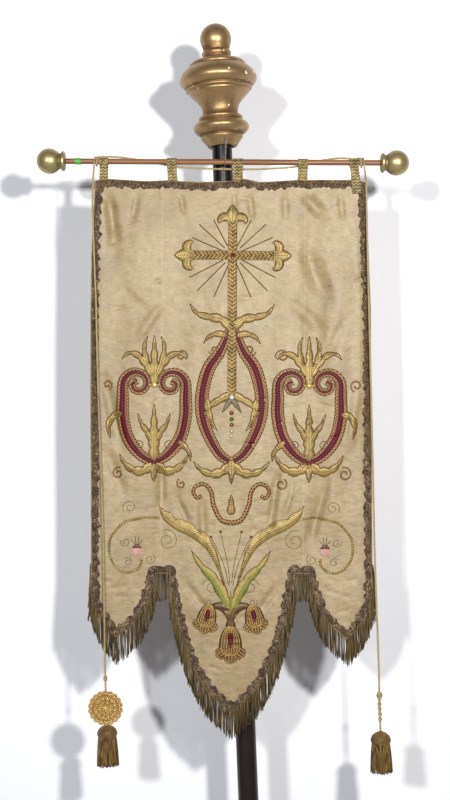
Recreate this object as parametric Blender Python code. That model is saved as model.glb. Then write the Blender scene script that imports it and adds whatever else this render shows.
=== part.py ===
"""A silk church banner with lace, fringe and tassels, on its crossbar and pole.

Metres, +Z up. The origin is the centre of the foot's underside. The banner faces -Y.
The bar hangs a little askew, so all that is sewn or tied to it is drawn in the bar's own
frame, which the empty "hanging" places: across runs along the bar, and drop runs down the
cloth from the bar's axis.
"""
from math import acos, atan2, ceil, cos, hypot, pi, radians, sin, tau

import bmesh
import bpy
from mathutils import Matrix, Vector

GAP = 0.0004                 # clearance between pieces that touch
BAR_MIDDLE = (-0.0041, -0.0365, 1.8002)   # the bar runs in front of the pole
BAR_TILT = radians(1.8)      # the bar's +X end hangs low

# Foot and pole
FOOT_RADIUS = 0.200
FOOT_THICK = 0.016
SOCKET_RADIUS = 0.034
SOCKET_BORE = 0.0240
SOCKET_TOP = 0.095
POLE_RADIUS = 0.0215
POLE_LEAN = radians(-0.82)
POLE_LENGTH = 1.8400

# Finial, turned about its own axis
FINIAL_FOOT = (-0.0250, 0.0, 1.8400)
FINIAL_LEAN = radians(-2.2)
FINIAL_RECESS = 0.0235
FINIAL_RECESS_DEEP = 0.0180
# height above the finial's underside, radius
FINIAL_PROFILE = (
    (0.0000, 0.0311), (0.0040, 0.0372), (0.0102, 0.0398), (0.0165, 0.0380),
    (0.0209, 0.0426), (0.0294, 0.0530), (0.0386, 0.0592), (0.0470, 0.0560),
    (0.0529, 0.0480), (0.0590, 0.0395), (0.0660, 0.0385), (0.0721, 0.0368),
    (0.0900, 0.0440), (0.1050, 0.0560), (0.1121, 0.0620), (0.1160, 0.0640),
    (0.1270, 0.0765), (0.1386, 0.0816), (0.1520, 0.0790), (0.1659, 0.0700),
    (0.1752, 0.0590), (0.1830, 0.0400), (0.1885, 0.0277), (0.1990, 0.0315),
    (0.2110, 0.0290),
)
FINIAL_BALL = 0.0334
FINIAL_BALL_HIGH = 0.2298

# Crossbar and what is on it
BAR_RADIUS = 0.0060
BAR_LEFT = -0.3526
BAR_RIGHT = 0.3104
BALL_RADIUS = 0.0265
COLLAR_RADIUS = 0.0205
COLLAR_LONG = 0.0130
TAPE_LEFT = -0.3318
TAPE_WIDE = 0.0120
TAPE_THICK = 0.0006
WIRE_RADIUS = 0.0008
WIRE_ACROSS = -0.0165

# Cloth
CLOTH_THICK = 0.0020
CLOTH_FRONT = -0.0050        # the flat cloth's face, in front of the bar's axis
LACE_THICK = 0.0014
LACE_WIDE = 0.0180
SIDE_LACE_FOOT = 0.8500
FRINGE_THICK = 0.0030
FRINGE_FRONT = CLOTH_FRONT - 0.0005
FRINGE_LONG = 0.0620
FRINGE_HEAD = 0.0120
TOOTH_PITCH = 0.0075
TOOTH_SLOT = 0.0016
SIDE_FRINGE_WIDE = 0.0085
CELL_ACROSS = 0.0205
CELL_DOWN = 0.0560
# across, drop: the top edge is pulled up at the tabs and sags between them
TOP_EDGE = (
    (-0.2890, 0.0420), (-0.2655, 0.0379), (-0.1825, 0.0427), (-0.1390, 0.0404),
    (-0.0754, 0.0439), (-0.0103, 0.0418), (0.0233, 0.0364), (0.0569, 0.0436),
    (0.1367, 0.0383), (0.2501, 0.0378), (0.2790, 0.0416),
)
# drop, left edge, right edge
SIDE_EDGES = (
    (0.0416, -0.2890, 0.2790), (0.2000, -0.2960, 0.2865), (0.3100, -0.2975, 0.2915),
    (0.5400, -0.2965, 0.2930), (0.7000, -0.2945, 0.2955), (0.8500, -0.2938, 0.2972),
)
# distance from the middle, drop: half of the lower edge, from the middle tip outwards
HALF_HEM = (
    (0.0270, 1.1330), (0.0520, 1.1100), (0.0750, 1.0730), (0.0910, 1.0410),
    (0.1050, 0.9975), (0.1145, 0.9620), (0.1225, 0.9280), (0.1285, 0.9000),
    (0.1320, 0.8655), (0.1620, 0.8655), (0.1655, 0.8900), (0.1780, 0.9280),
    (0.1940, 0.9570), (0.2180, 0.9820), (0.2430, 1.0003), (0.2660, 0.9765),
    (0.2845, 0.9465), (0.2945, 0.9165),
)
MIDDLE_TIP = 1.1561
HEM_SWAY = 0.0022            # the lappets hang this far to +X
# across at its top, across at its foot, first drop, last drop, reach, push to the back
FOLDS = (
    (-0.256, -0.250, 0.050, 0.260, 0.024, 0.0050),
    (-0.190, -0.205, 0.090, 0.720, 0.050, -0.0050),
    (-0.105, -0.130, 0.120, 0.800, 0.045, 0.0050),
    (-0.020, -0.030, 0.060, 0.560, 0.045, -0.0045),
    (0.075, 0.055, 0.180, 0.860, 0.050, 0.0055),
    (0.165, 0.175, 0.060, 0.480, 0.035, 0.0055),
    (0.225, 0.205, 0.160, 0.800, 0.040, -0.0045),
    (-0.150, -0.150, 0.600, 0.860, 0.025, 0.0040),
    (0.200, 0.160, 0.600, 0.860, 0.028, 0.0045),
    (0.000, 0.000, 0.820, 1.300, 0.120, -0.0060),
    (-0.240, -0.245, 0.840, 1.150, 0.060, 0.0035),
    (0.245, 0.250, 0.840, 1.150, 0.060, -0.0040),
)
FOLD_FADE = 0.090
EDGE_CURL = 0.0075           # how far the side edges turn back
CURL_REACH = 0.026

# Tabs: across at the bar, sideways drift of the tail, width, tail's depth, tail's foot
TAB_THICK = 0.0015
TAB_BACK_TAIL = CLOTH_FRONT + CLOTH_THICK + GAP + TAB_THICK + GAP / 2
TAB_FRONT_TAIL = CLOTH_FRONT - GAP - LACE_THICK - GAP - TAB_THICK - GAP / 2
TABS = (
    (-0.2717, 0.0000, 0.0185, TAB_BACK_TAIL, 0.056),
    (-0.1290, 0.0040, 0.0210, TAB_BACK_TAIL, 0.056),
    (0.0108, 0.0000, 0.0210, TAB_BACK_TAIL, 0.054),
    (0.1475, -0.0020, 0.0210, TAB_BACK_TAIL, 0.055),
    (0.2545, 0.0065, 0.0190, TAB_FRONT_TAIL, 0.066),
)
TAB_CLOSE = 0.016            # below this drop the loop's two layers lie together

# Cords and what hangs on them. Routes are points chosen by hand.
CORD_RADIUS = 0.0025
CORD_STEP = 0.0150
HITCH_RADIUS = BAR_RADIUS + GAP + CORD_RADIUS
HITCH_PITCH = 0.0056
HITCH_TURNS = 1.25
LEFT_HITCH = -0.2840         # where the slack arrives at each hitch
RIGHT_HITCH = 0.2675
LEFT_ROUTE = (
    (-0.2950, -0.0454, 1.8083), (-0.2956, -0.0458, 1.7990), (-0.2975, -0.0471, 1.7790),
    (-0.3004, -0.0481, 1.7300), (-0.3010, -0.0477, 1.6850), (-0.3003, -0.0473, 1.6095),
    (-0.2991, -0.0473, 1.5023), (-0.2994, -0.0473, 1.3952), (-0.2990, -0.0473, 1.2649),
    (-0.2974, -0.0473, 1.1388), (-0.2971, -0.0473, 0.9918), (-0.2985, -0.0473, 0.8741),
    (-0.2999, -0.0473, 0.7565), (-0.3000, -0.0473, 0.7000), (-0.2993, -0.0473, 0.6255),
)
RIGHT_ROUTE = (
    (0.2702, -0.0454, 1.7907), (0.2708, -0.0459, 1.7810), (0.2728, -0.0473, 1.7600),
    (0.2735, -0.0481, 1.7330), (0.2729, -0.0477, 1.6281), (0.2727, -0.0473, 1.4500),
    (0.2725, -0.0473, 1.2920), (0.2721, -0.0473, 1.1239), (0.2713, -0.0473, 0.9769),
    (0.2724, -0.0473, 0.8593), (0.2736, -0.0473, 0.7416), (0.2734, -0.0473, 0.6848),
    (0.2736, -0.0473, 0.5964),
)
# across, depth, drop
BACK_ROUTE = (
    (-0.2840, 0.0010, -0.0089), (-0.2832, 0.0065, -0.0100), (-0.2790, 0.0105, -0.0115),
    (-0.2660, 0.0115, -0.0120), (-0.2388, 0.0114, -0.0110), (-0.2000, 0.0112, -0.0060),
    (-0.1614, 0.0112, 0.0010),
    (-0.1170, 0.0112, 0.0085), (-0.0600, 0.0112, 0.0120), (-0.0020, 0.0112, 0.0130),
    (0.0600, 0.0112, 0.0122), (0.1240, 0.0112, 0.0080), (0.1510, 0.0112, 0.0020),
    (0.1850, 0.0112, -0.0062), (0.2228, 0.0112, -0.0115), (0.2540, 0.0112, -0.0105),
    (0.2620, 0.0105, -0.0110), (0.2668, 0.0065, -0.0100), (0.2675, 0.0010, -0.0089),
)
ROSETTE_AT = (-0.3008, -0.0520, 0.6622)
ROSETTE_RADIUS = 0.0362
ROSETTE_THICK = 0.0030
ROSETTE_SCALLOPS = 18
WHIPPING_AT = (-0.3000, -0.0473, 0.7229)
KNOT_AT = (0.2734, -0.0473, 0.6722)
LEFT_TASSEL = (-0.2991, -0.0473, 0.6249)
RIGHT_TASSEL = (0.2737, -0.0473, 0.5960)
# depth below the tassel's top, radius
HEAD_PROFILE = (
    (0.0000, 0.0035), (0.0030, 0.0110), (0.0090, 0.0175), (0.0160, 0.0200), (0.0208, 0.0192),
)
SKIRT_PROFILE = ((0.0212, 0.0185), (0.0350, 0.0205), (0.0600, 0.0225), (0.0846, 0.0238))


# ---------------------------------------------------------------- helpers

def clear_scene():
    for thing in list(bpy.data.objects):
        bpy.data.objects.remove(thing, do_unlink=True)


def linear(channel):
    """A display value of 0 to 255 as the linear value that a shader takes."""
    part = channel / 255
    return part / 12.92 if part <= 0.04045 else ((part + 0.055) / 1.055) ** 2.4


def material(name, display, roughness, metallic=0.0):
    made = bpy.data.materials.new(name)
    made.use_nodes = True
    shader = made.node_tree.nodes["Principled BSDF"]
    shader.inputs["Base Color"].default_value = (*(linear(c) for c in display), 1)
    shader.inputs["Roughness"].default_value = roughness
    shader.inputs["Metallic"].default_value = metallic
    return made


def add(name, data, look, parent=None):
    """Link one sub-part, hung from the given empty if there is one."""
    thing = bpy.data.objects.new(name, data)
    data.materials.append(look)
    bpy.context.scene.collection.objects.link(thing)
    thing.parent = parent
    return thing


def mesh_from(bm, name, sharp=None):
    bmesh.ops.recalc_face_normals(bm, faces=bm.faces)
    mesh = bpy.data.meshes.new(name)
    bm.to_mesh(mesh)
    bm.free()
    if sharp is not None:
        mesh.shade_smooth()
        mesh.set_sharp_from_angle(angle=radians(sharp))
    return mesh


def turned(name, profile, sides, sharp=35):
    """A solid turned about Z from rows of (height, radius), closed at both ends."""
    bm = bmesh.new()
    heights = [profile[0][0], *(row[0] for row in profile), profile[-1][0]]
    radii = [0.0, *(row[1] for row in profile), 0.0]
    line = [bm.verts.new((radius, 0, height)) for height, radius in zip(heights, radii)]
    edges = [bm.edges.new(pair) for pair in zip(line, line[1:])]
    bmesh.ops.spin(bm, geom=line + edges, cent=(0, 0, 0), axis=(0, 0, 1), angle=tau,
                   steps=sides, use_merge=True)
    bmesh.ops.remove_doubles(bm, verts=bm.verts, dist=0.00001)
    return mesh_from(bm, name, sharp)


def between(rows, value, column=1):
    """The column's value at a place in the rows' first column, by straight lines."""
    for low, high in zip(rows, rows[1:]):
        if value <= high[0]:
            break
    share = (value - low[0]) / (high[0] - low[0])
    share = min(max(share, 0.0), 1.0)
    return low[column] + (high[column] - low[column]) * share


def ramp(value, start, end):
    share = min(max((value - start) / (end - start), 0.0), 1.0)
    return share * share * (3 - 2 * share)


def swell(value, reach):
    return cos(pi / 2 * value / reach) ** 2 if abs(value) < reach else 0.0


def smooth_line(points, step):
    """Points a step apart on a smooth curve through the given ones."""
    points = [Vector(point) for point in points]
    ends = [points[0] * 2 - points[1], *points, points[-1] * 2 - points[-2]]
    line = []
    for before, start, end, after in zip(ends, ends[1:], ends[2:], ends[3:]):
        count = max(1, round((end - start).length / step))
        for index in range(count):
            t = index / count
            line.append(0.5 * (2 * start + (end - before) * t
                               + (2 * before - 5 * start + 4 * end - after) * t ** 2
                               + (3 * start - before - 3 * end + after) * t ** 3))
    return line + [points[-1]]


def tube(name, points, radius, look, parent=None, resolution=2):
    curve = bpy.data.curves.new(name, "CURVE")
    curve.dimensions = "3D"
    curve.bevel_depth = radius
    curve.bevel_resolution = resolution
    curve.use_fill_caps = True
    spline = curve.splines.new("POLY")
    spline.points.add(len(points) - 1)
    for place, point in zip(spline.points, points):
        place.co = (*point, 1)
    return add(name, curve, look, parent)


# ---------------------------------------------------------------- the cloth's outline and folds

def hem_line():
    """The lower edge from the left side's foot, round the lappets, to the right side's."""
    right = [(across + HEM_SWAY, drop) for across, drop in HALF_HEM]
    left = [(HEM_SWAY - across, drop) for across, drop in reversed(HALF_HEM)]
    _, left_edge, right_edge = SIDE_EDGES[-1]
    return [(left_edge, SIDE_LACE_FOOT), *left, (HEM_SWAY, MIDDLE_TIP), *right,
            (right_edge, SIDE_LACE_FOOT)]


def cloth_outline():
    top = list(TOP_EDGE)
    right = [(row[2], row[0]) for row in SIDE_EDGES[1:-1]]
    left = [(row[1], row[0]) for row in reversed(SIDE_EDGES[1:-1])]
    return top + right + list(reversed(hem_line())) + left


def moved_line(line, distance):
    """The line moved sideways by a distance, to the left of its run, with mitred corners."""
    normals = []
    for (x0, d0), (x1, d1) in zip(line, line[1:]):
        length = hypot(x1 - x0, d1 - d0)
        normals.append(((d1 - d0) / length, -(x1 - x0) / length))
    before = [normals[0], *normals]
    after = [*normals, normals[-1]]
    moved = []
    for (x, d), (ax, ad), (bx, bd) in zip(line, before, after):
        scale = distance / (1 + ax * bx + ad * bd)
        moved.append((x + (ax + bx) * scale, d + (ad + bd) * scale))
    return moved


def fold_depth(across, drop):
    """How far behind its flat place the cloth's face lies."""
    depth = 0.0
    for top, foot, first, last, reach, push in FOLDS:
        middle = top + (foot - top) * (drop - first) / (last - first)
        fade = ramp(drop, first, first + FOLD_FADE) * (1 - ramp(drop, last - FOLD_FADE, last))
        depth += push * fade * swell(across - middle, reach)
    left = between(SIDE_EDGES, drop, 1)
    right = between(SIDE_EDGES, drop, 2)
    left_curl = ramp(across, left + CURL_REACH, left) * ramp(drop, 0.10, 0.30)
    right_curl = ramp(across, right - CURL_REACH, right) * ramp(drop, 0.06, 0.20)
    return depth + EDGE_CURL * (0.6 * left_curl + right_curl * (1 - 0.6 * ramp(drop, 0.5, 0.8)))


def thicken(bm, thick):
    """Close a sheet of faces into a slab that runs back from it."""
    front = bmesh.ops.extrude_face_region(bm, geom=list(bm.faces))
    back = [item for item in front["geom"] if isinstance(item, bmesh.types.BMVert)]
    bmesh.ops.translate(bm, verts=back, vec=(0, thick, 0))


def folded_slab(name, front, thick):
    """A slab on the cloth's folds, larger than the cloth, for the outlines to cut.

    Every layer uses the same cells, so layers moved apart never meet.
    """
    wide = 2 * 0.320
    columns = ceil(wide / CELL_ACROSS)
    rows = ceil(1.240 / CELL_DOWN)
    bm = bmesh.new()
    grid = []
    for row in range(rows + 1):
        drop = 0.013 + row * CELL_DOWN
        line = []
        for column in range(columns + 1):
            across = wide * (column / columns - 0.5)
            line.append(bm.verts.new((across, front + fold_depth(across, drop), -drop)))
        grid.append(line)
    for upper, lower in zip(grid, grid[1:]):
        for column in range(columns):
            corners = upper[column], upper[column + 1], lower[column + 1], lower[column]
            bm.faces.new((corners[0], corners[1], corners[2]))
            bm.faces.new((corners[0], corners[2], corners[3]))
    thicken(bm, thick)
    return mesh_from(bm, name, 60)


def cut_cloth(name, outline, front, thick, look, parent):
    """A slab of folded cloth cut to an outline of (across, drop) points."""
    piece = add(name, folded_slab(name, front, thick), look, parent)
    bm = bmesh.new()
    bm.faces.new([bm.verts.new((across, -0.06, -drop)) for across, drop in outline])
    thicken(bm, 0.12)
    cutter = add(name + "_outline", mesh_from(bm, name + "_outline"), look, parent)
    cutter.hide_render = True
    cutter.display_type = "WIRE"
    cut = piece.modifiers.new("outline", "BOOLEAN")
    cut.operation = "INTERSECT"
    cut.solver = "EXACT"
    cut.object = cutter
    return piece


# ---------------------------------------------------------------- sub-parts

def make_panel(look, parent):
    cut_cloth("panel", cloth_outline(), CLOTH_FRONT, CLOTH_THICK, look, parent)


def make_lace(look, parent):
    """Four lengths of metal lace, flat on the cloth's face."""
    front = CLOTH_FRONT - GAP - LACE_THICK
    top = list(TOP_EDGE)
    lower = [(across, drop + LACE_WIDE) for across, drop in reversed(top)]
    cut_cloth("galloon_top", top + lower, front, LACE_THICK, look, parent)
    start = top[0][1] + LACE_WIDE + GAP
    stop = SIDE_LACE_FOOT - GAP
    drops = [start, *(row[0] for row in SIDE_EDGES[1:-1]), stop]
    for name, column, inward in (("galloon_left", 1, 1), ("galloon_right", 2, -1)):
        edge = [(between(SIDE_EDGES, drop, column), drop) for drop in drops]
        inner = [(across + inward * LACE_WIDE, drop) for across, drop in reversed(edge)]
        cut_cloth(name, edge + inner, front, LACE_THICK, look, parent)
    hem = hem_line()
    inner = list(reversed(moved_line(hem, LACE_WIDE)))
    cut_cloth("galloon_hem", hem + inner, front, LACE_THICK, look, parent)


def fringe_edge(across, line):
    """The fringe's upper edge: under the cloth's hem, and beside the cloth at its sides."""
    if across <= line[0][0] or across >= line[-1][0]:
        return SIDE_LACE_FOOT + GAP
    return between(line, across)


def make_fringe(look, parent):
    """One comb along the lower edge, its teeth hanging plumb from the hem."""
    line = moved_line(hem_line(), -GAP)
    left = line[0][0] - SIDE_FRINGE_WIDE
    right = line[-1][0] + SIDE_FRINGE_WIDE
    count = round((right - left) / TOOTH_PITCH)
    pitch = (right - left) / count
    bm = bmesh.new()
    hem = hem_line()

    def column(across, low):
        """Upper edge, root and tip of the comb at one place."""
        head = fringe_edge(across, line)
        inside = min(max(across, hem[1][0]), hem[-2][0])
        edge = between(hem[1:-1], inside)
        foot = edge + FRINGE_LONG - low
        root = max(head, edge) + FRINGE_HEAD
        return [bm.verts.new((across, FRINGE_FRONT + fold_depth(across, drop), -drop))
                for drop in (head, root, foot)]

    def bridge(first, second, rows):
        for row in rows:
            bm.faces.new((first[row], second[row], second[row + 1], first[row + 1]))

    corners = [across for across, _ in line if left < across < right]
    before = None
    for index in range(count):
        start = left + index * pitch + TOOTH_SLOT / 2
        end = left + (index + 1) * pitch - TOOTH_SLOT / 2
        low = 0.004 * (index % 3) / 2
        inner = [across for across in corners if start + 0.0003 < across < end - 0.0003]
        posts = [column(across, low) for across in (start, *inner, end)]
        if before:
            bridge(before, posts[0], (0,))
        for first, second in zip(posts, posts[1:]):
            bridge(first, second, (0, 1))
        before = posts[-1]
    thicken(bm, FRINGE_THICK)
    add("fringe", mesh_from(bm, "fringe", 50), look, parent)


def tangent(point, radius, side):
    """Angle at which a line from the point touches a circle about the bar's axis."""
    return atan2(point[1], point[0]) + side * acos(radius / hypot(*point))


def make_tab(name, across, drift, width, tail, foot, look, parent):
    """A loop of braid over the bar, its two ends lying together below."""
    radius = BAR_RADIUS + GAP + TAB_THICK / 2
    half = TAB_THICK / 2 + GAP / 2
    front_tail = (tail - half, -TAB_CLOSE)
    back_tail = (tail + half, -TAB_CLOSE)
    start = tangent(front_tail, radius, -1)
    end = tangent(back_tail, radius, 1) - tau
    steps = 16
    path = [(tail - half, -foot), (tail - half, -(foot + TAB_CLOSE) / 2), front_tail]
    for index in range(steps + 1):
        angle = start + (end - start) * index / steps
        path.append((radius * cos(angle), radius * sin(angle)))
    path += [back_tail, (tail + half, -(foot + TAB_CLOSE) / 2), (tail + half, -foot)]
    outer = moved_line(path, TAB_THICK / 2)
    inner = moved_line(path, -TAB_THICK / 2)
    bm = bmesh.new()
    rings = []
    for side in (-width / 2, width / 2):
        ring = []
        for depth, high in outer + list(reversed(inner)):
            slide = drift * max(0.0, -high - BAR_RADIUS) / (foot - BAR_RADIUS)
            ring.append(bm.verts.new((across + side + slide, depth, high)))
        rings.append(ring)
    count = len(rings[0])
    half_count = count // 2
    for index in range(count):
        follow = (index + 1) % count
        bm.faces.new((rings[0][index], rings[0][follow], rings[1][follow], rings[1][index]))
    for ring in rings:
        for index in range(half_count - 1):
            bm.faces.new((ring[index], ring[index + 1],
                          ring[count - 2 - index], ring[count - 1 - index]))
    add(name, mesh_from(bm, name, 40), look, parent)


def make_bar(wood, gilt, tape, parent):
    """The dowel, its two ball ends and the turn of tape that marks one end."""
    bm = bmesh.new()
    lengthwise = Matrix.Rotation(pi / 2, 4, "Y")
    middle = Matrix.Translation(((BAR_LEFT + BAR_RIGHT) / 2, 0, 0))
    bmesh.ops.create_cone(bm, cap_ends=True, segments=24, radius1=BAR_RADIUS, radius2=BAR_RADIUS,
                          depth=BAR_RIGHT - BAR_LEFT, matrix=middle @ lengthwise)
    add("crossbar", mesh_from(bm, "crossbar", 40), wood, parent)

    profile = [(0.0, COLLAR_RADIUS * 0.80), (0.0030, COLLAR_RADIUS), (0.0070, COLLAR_RADIUS),
               (0.0085, COLLAR_RADIUS * 0.86), (COLLAR_LONG, COLLAR_RADIUS * 0.82)]
    reach = (BALL_RADIUS ** 2 - profile[-1][1] ** 2) ** 0.5
    centre = COLLAR_LONG + reach
    first = atan2(profile[-1][1], -reach)
    for index in range(1, 10):
        angle = first * (1 - index / 10)
        profile.append((centre + BALL_RADIUS * cos(angle), BALL_RADIUS * sin(angle)))
    profile[-1] = (centre + BALL_RADIUS * 0.995, BALL_RADIUS * 0.06)
    for name, place, turn in (("ball_left", BAR_LEFT - GAP, -pi / 2),
                              ("ball_right", BAR_RIGHT + GAP, pi / 2)):
        ball = add(name, turned(name, profile, 20), gilt, parent)
        ball.location = (place, 0, 0)
        ball.rotation_euler = (0, turn, 0)

    inner = BAR_RADIUS + GAP
    ring = ((0, inner), (0, inner + TAPE_THICK), (TAPE_WIDE, inner + TAPE_THICK), (TAPE_WIDE, inner))
    band = add("marking_tape", hollow("marking_tape", ring, 24), tape, parent)
    band.location = (TAPE_LEFT, 0, 0)
    band.rotation_euler = (0, pi / 2, 0)


def hollow(name, ring, sides):
    """A ring turned about Z from a closed row of (height, radius) corners."""
    bm = bmesh.new()
    corners = [bm.verts.new((radius, 0, height)) for height, radius in ring]
    edges = [bm.edges.new((corners[i - 1], corners[i])) for i in range(len(corners))]
    bmesh.ops.spin(bm, geom=corners + edges, cent=(0, 0, 0), axis=(0, 0, 1), angle=tau,
                   steps=sides, use_merge=True)
    return mesh_from(bm, name, 35)


def make_stand(iron, paint, gilt):
    """The foot with its socket, the leaning pole and the finial on top."""
    foot_profile = (
        (0.0, FOOT_RADIUS - 0.003), (0.003, FOOT_RADIUS), (FOOT_THICK - 0.004, FOOT_RADIUS),
        (FOOT_THICK, FOOT_RADIUS - 0.004), (FOOT_THICK + 0.003, SOCKET_RADIUS + 0.022),
        (FOOT_THICK + 0.010, SOCKET_RADIUS), (SOCKET_TOP - 0.003, SOCKET_RADIUS),
        (SOCKET_TOP, SOCKET_RADIUS - 0.003), (SOCKET_TOP, SOCKET_BORE), (FOOT_THICK, SOCKET_BORE),
    )
    add("foot", turned("foot", foot_profile, 40), iron)

    lean = Matrix.Rotation(POLE_LEAN, 4, "Y")
    start = FOOT_THICK + 0.001
    pole_profile = ((start, POLE_RADIUS - 0.001), (start + 0.001, POLE_RADIUS),
                    (POLE_LENGTH + 0.014, POLE_RADIUS), (POLE_LENGTH + 0.015, POLE_RADIUS - 0.001))
    pole = add("pole", turned("pole", pole_profile, 32), paint)
    pole.matrix_world = lean

    profile = [(FINIAL_RECESS_DEEP, FINIAL_RECESS), (0.0, FINIAL_RECESS), *FINIAL_PROFILE]
    joint = atan2(FINIAL_PROFILE[-1][1], FINIAL_PROFILE[-1][0] - FINIAL_BALL_HIGH)
    for index in range(1, 8):
        angle = joint * (1 - index / 8)
        profile.append((FINIAL_BALL_HIGH + FINIAL_BALL * cos(angle), FINIAL_BALL * sin(angle)))
    profile.append((FINIAL_BALL_HIGH + FINIAL_BALL, 0.0015))
    finial = add("finial", turned("finial", profile, 30, 28), gilt)
    finial.matrix_world = Matrix.Translation(FINIAL_FOOT) @ Matrix.Rotation(FINIAL_LEAN, 4, "Y")


def make_wire(look, parent):
    """A bent wire from the finial's lowest ring, under the bar and up again."""
    round_bar = BAR_RADIUS + GAP + WIRE_RADIUS
    top = 0.0500
    points = [(WIRE_ACROSS, -0.0060, top), (WIRE_ACROSS, -0.0068, top * 0.6),
              (WIRE_ACROSS, -0.0071, top * 0.3)]
    for index in range(7):
        angle = pi + pi * index / 6
        points.append((WIRE_ACROSS, round_bar * cos(angle), round_bar * sin(angle)))
    points += [(WIRE_ACROSS + 0.0008, 0.0060, 0.0150), (WIRE_ACROSS + 0.0014, 0.0000, 0.0270),
               (WIRE_ACROSS + 0.0024, -0.0048, 0.0380), (WIRE_ACROSS + 0.0024, -0.0060, top)]
    tube("hanger_wire", smooth_line(points, 0.008), WIRE_RADIUS, look, parent)


def make_cords(cord, parent):
    """The twisted cord: two hanging stretches, two hitches, and the slack behind the bar."""
    for name, across, side in (("hitch_left", LEFT_HITCH, -1), ("hitch_right", RIGHT_HITCH, 1)):
        steps = round(16 * HITCH_TURNS)
        turns = []
        for index in range(steps + 1):
            share = index / steps
            angle = pi / 2 + tau * HITCH_TURNS * share
            slide = side * HITCH_PITCH * HITCH_TURNS * share
            turns.append((across + slide, HITCH_RADIUS * cos(angle), HITCH_RADIUS * sin(angle)))
        tube(name, turns, CORD_RADIUS, cord, parent)
    tube("cord_left", smooth_line(LEFT_ROUTE, CORD_STEP), CORD_RADIUS, cord)
    tube("cord_right", smooth_line(RIGHT_ROUTE, CORD_STEP), CORD_RADIUS, cord)
    slack = [(across, depth, -drop) for across, depth, drop in BACK_ROUTE]
    tube("cord_back", smooth_line(slack, CORD_STEP), CORD_RADIUS, cord, parent)


def make_tassels(gold):
    """The scalloped rosette, the whipping, the knot and the two tassels."""
    bm = bmesh.new()
    rim = []
    points = ROSETTE_SCALLOPS * 4
    for index in range(points):
        angle = tau * index / points
        radius = ROSETTE_RADIUS - 0.0022 * (1 - abs(sin(angle * ROSETTE_SCALLOPS / 2)))
        rim.append(bm.verts.new((radius * cos(angle), -ROSETTE_THICK / 2, radius * sin(angle))))
    bm.faces.new(rim)
    thicken(bm, ROSETTE_THICK)
    rosette = add("rosette", mesh_from(bm, "rosette", 40), gold)
    rosette.location = ROSETTE_AT

    bore = CORD_RADIUS + GAP
    for name, place, thick, tall in (
            ("whipping_left", WHIPPING_AT, 0.0014, 0.0090),
            ("knot_right", KNOT_AT, 0.0030, 0.0150)):
        ring = ((-tall / 2, bore), (-tall / 2, bore + thick * 0.4), (-tall / 4, bore + thick),
                (tall / 4, bore + thick), (tall / 2, bore + thick * 0.4), (tall / 2, bore))
        knot = add(name, hollow(name, ring, 12), gold)
        knot.location = place

    for side, place in (("left", LEFT_TASSEL), ("right", RIGHT_TASSEL)):
        for part, rows in (("head", HEAD_PROFILE), ("skirt", SKIRT_PROFILE)):
            profile = [(-depth, radius) for depth, radius in reversed(rows)]
            name = f"tassel_{part}_{side}"
            piece = add(name, turned(name, profile, 20), gold)
            piece.location = place


def build():
    clear_scene()
    silk = material("silk", (214, 196, 156), 0.55)
    lace = material("galloon_lace", (92, 76, 58), 0.45, 0.5)
    bullion = material("bullion", (96, 84, 52), 0.45, 0.5)
    braid = material("gold_braid", (168, 148, 96), 0.5, 0.4)
    wood = material("bar_wood", (176, 122, 82), 0.5)
    ball_gilt = material("ball_gilt", (190, 175, 115), 0.35, 0.7)
    tape = material("green_tape", (60, 170, 90), 0.4)
    paint = material("pole_paint", (48, 32, 28), 0.25)
    gilt = material("finial_gilt", (190, 155, 95), 0.35, 0.7)
    iron = material("foot_iron", (42, 38, 36), 0.5, 0.6)
    wire = material("wire_steel", (170, 168, 160), 0.3, 1.0)
    cord = material("gold_cord", (176, 160, 106), 0.5, 0.3)
    gold = material("gold_thread", (160, 130, 60), 0.4, 0.6)

    hanging = bpy.data.objects.new("hanging", None)
    bpy.context.scene.collection.objects.link(hanging)
    hanging.location = BAR_MIDDLE
    hanging.rotation_euler = (0, BAR_TILT, 0)

    make_panel(silk, hanging)
    make_lace(lace, hanging)
    make_fringe(bullion, hanging)
    for index, row in enumerate(TABS):
        make_tab(f"tab_{index + 1}", *row, braid, hanging)
    make_bar(wood, ball_gilt, tape, hanging)
    make_stand(iron, paint, gilt)
    make_wire(wire, hanging)
    make_cords(cord, hanging)
    make_tassels(gold)


build()
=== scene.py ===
# %% [markdown]
# # A silk church banner, embroidered, laced and fringed
# This lesson dresses a plain, measured model of a church banner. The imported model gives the
# cloth's outline and folds, the bar, the pole and the finial. Here each of them gets the
# surface that a maker gives it: slubbed silk, metal lace, twisted bullion, couched gold
# thread, turned and gilt wood. All sizes are metres.

# %% Load the measured model
import random
from math import acos, atan2, cos, hypot, pi, radians, sin, sqrt, tau

import bmesh
import bpy
import numpy as np
from mathutils import Matrix, Vector


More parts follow.
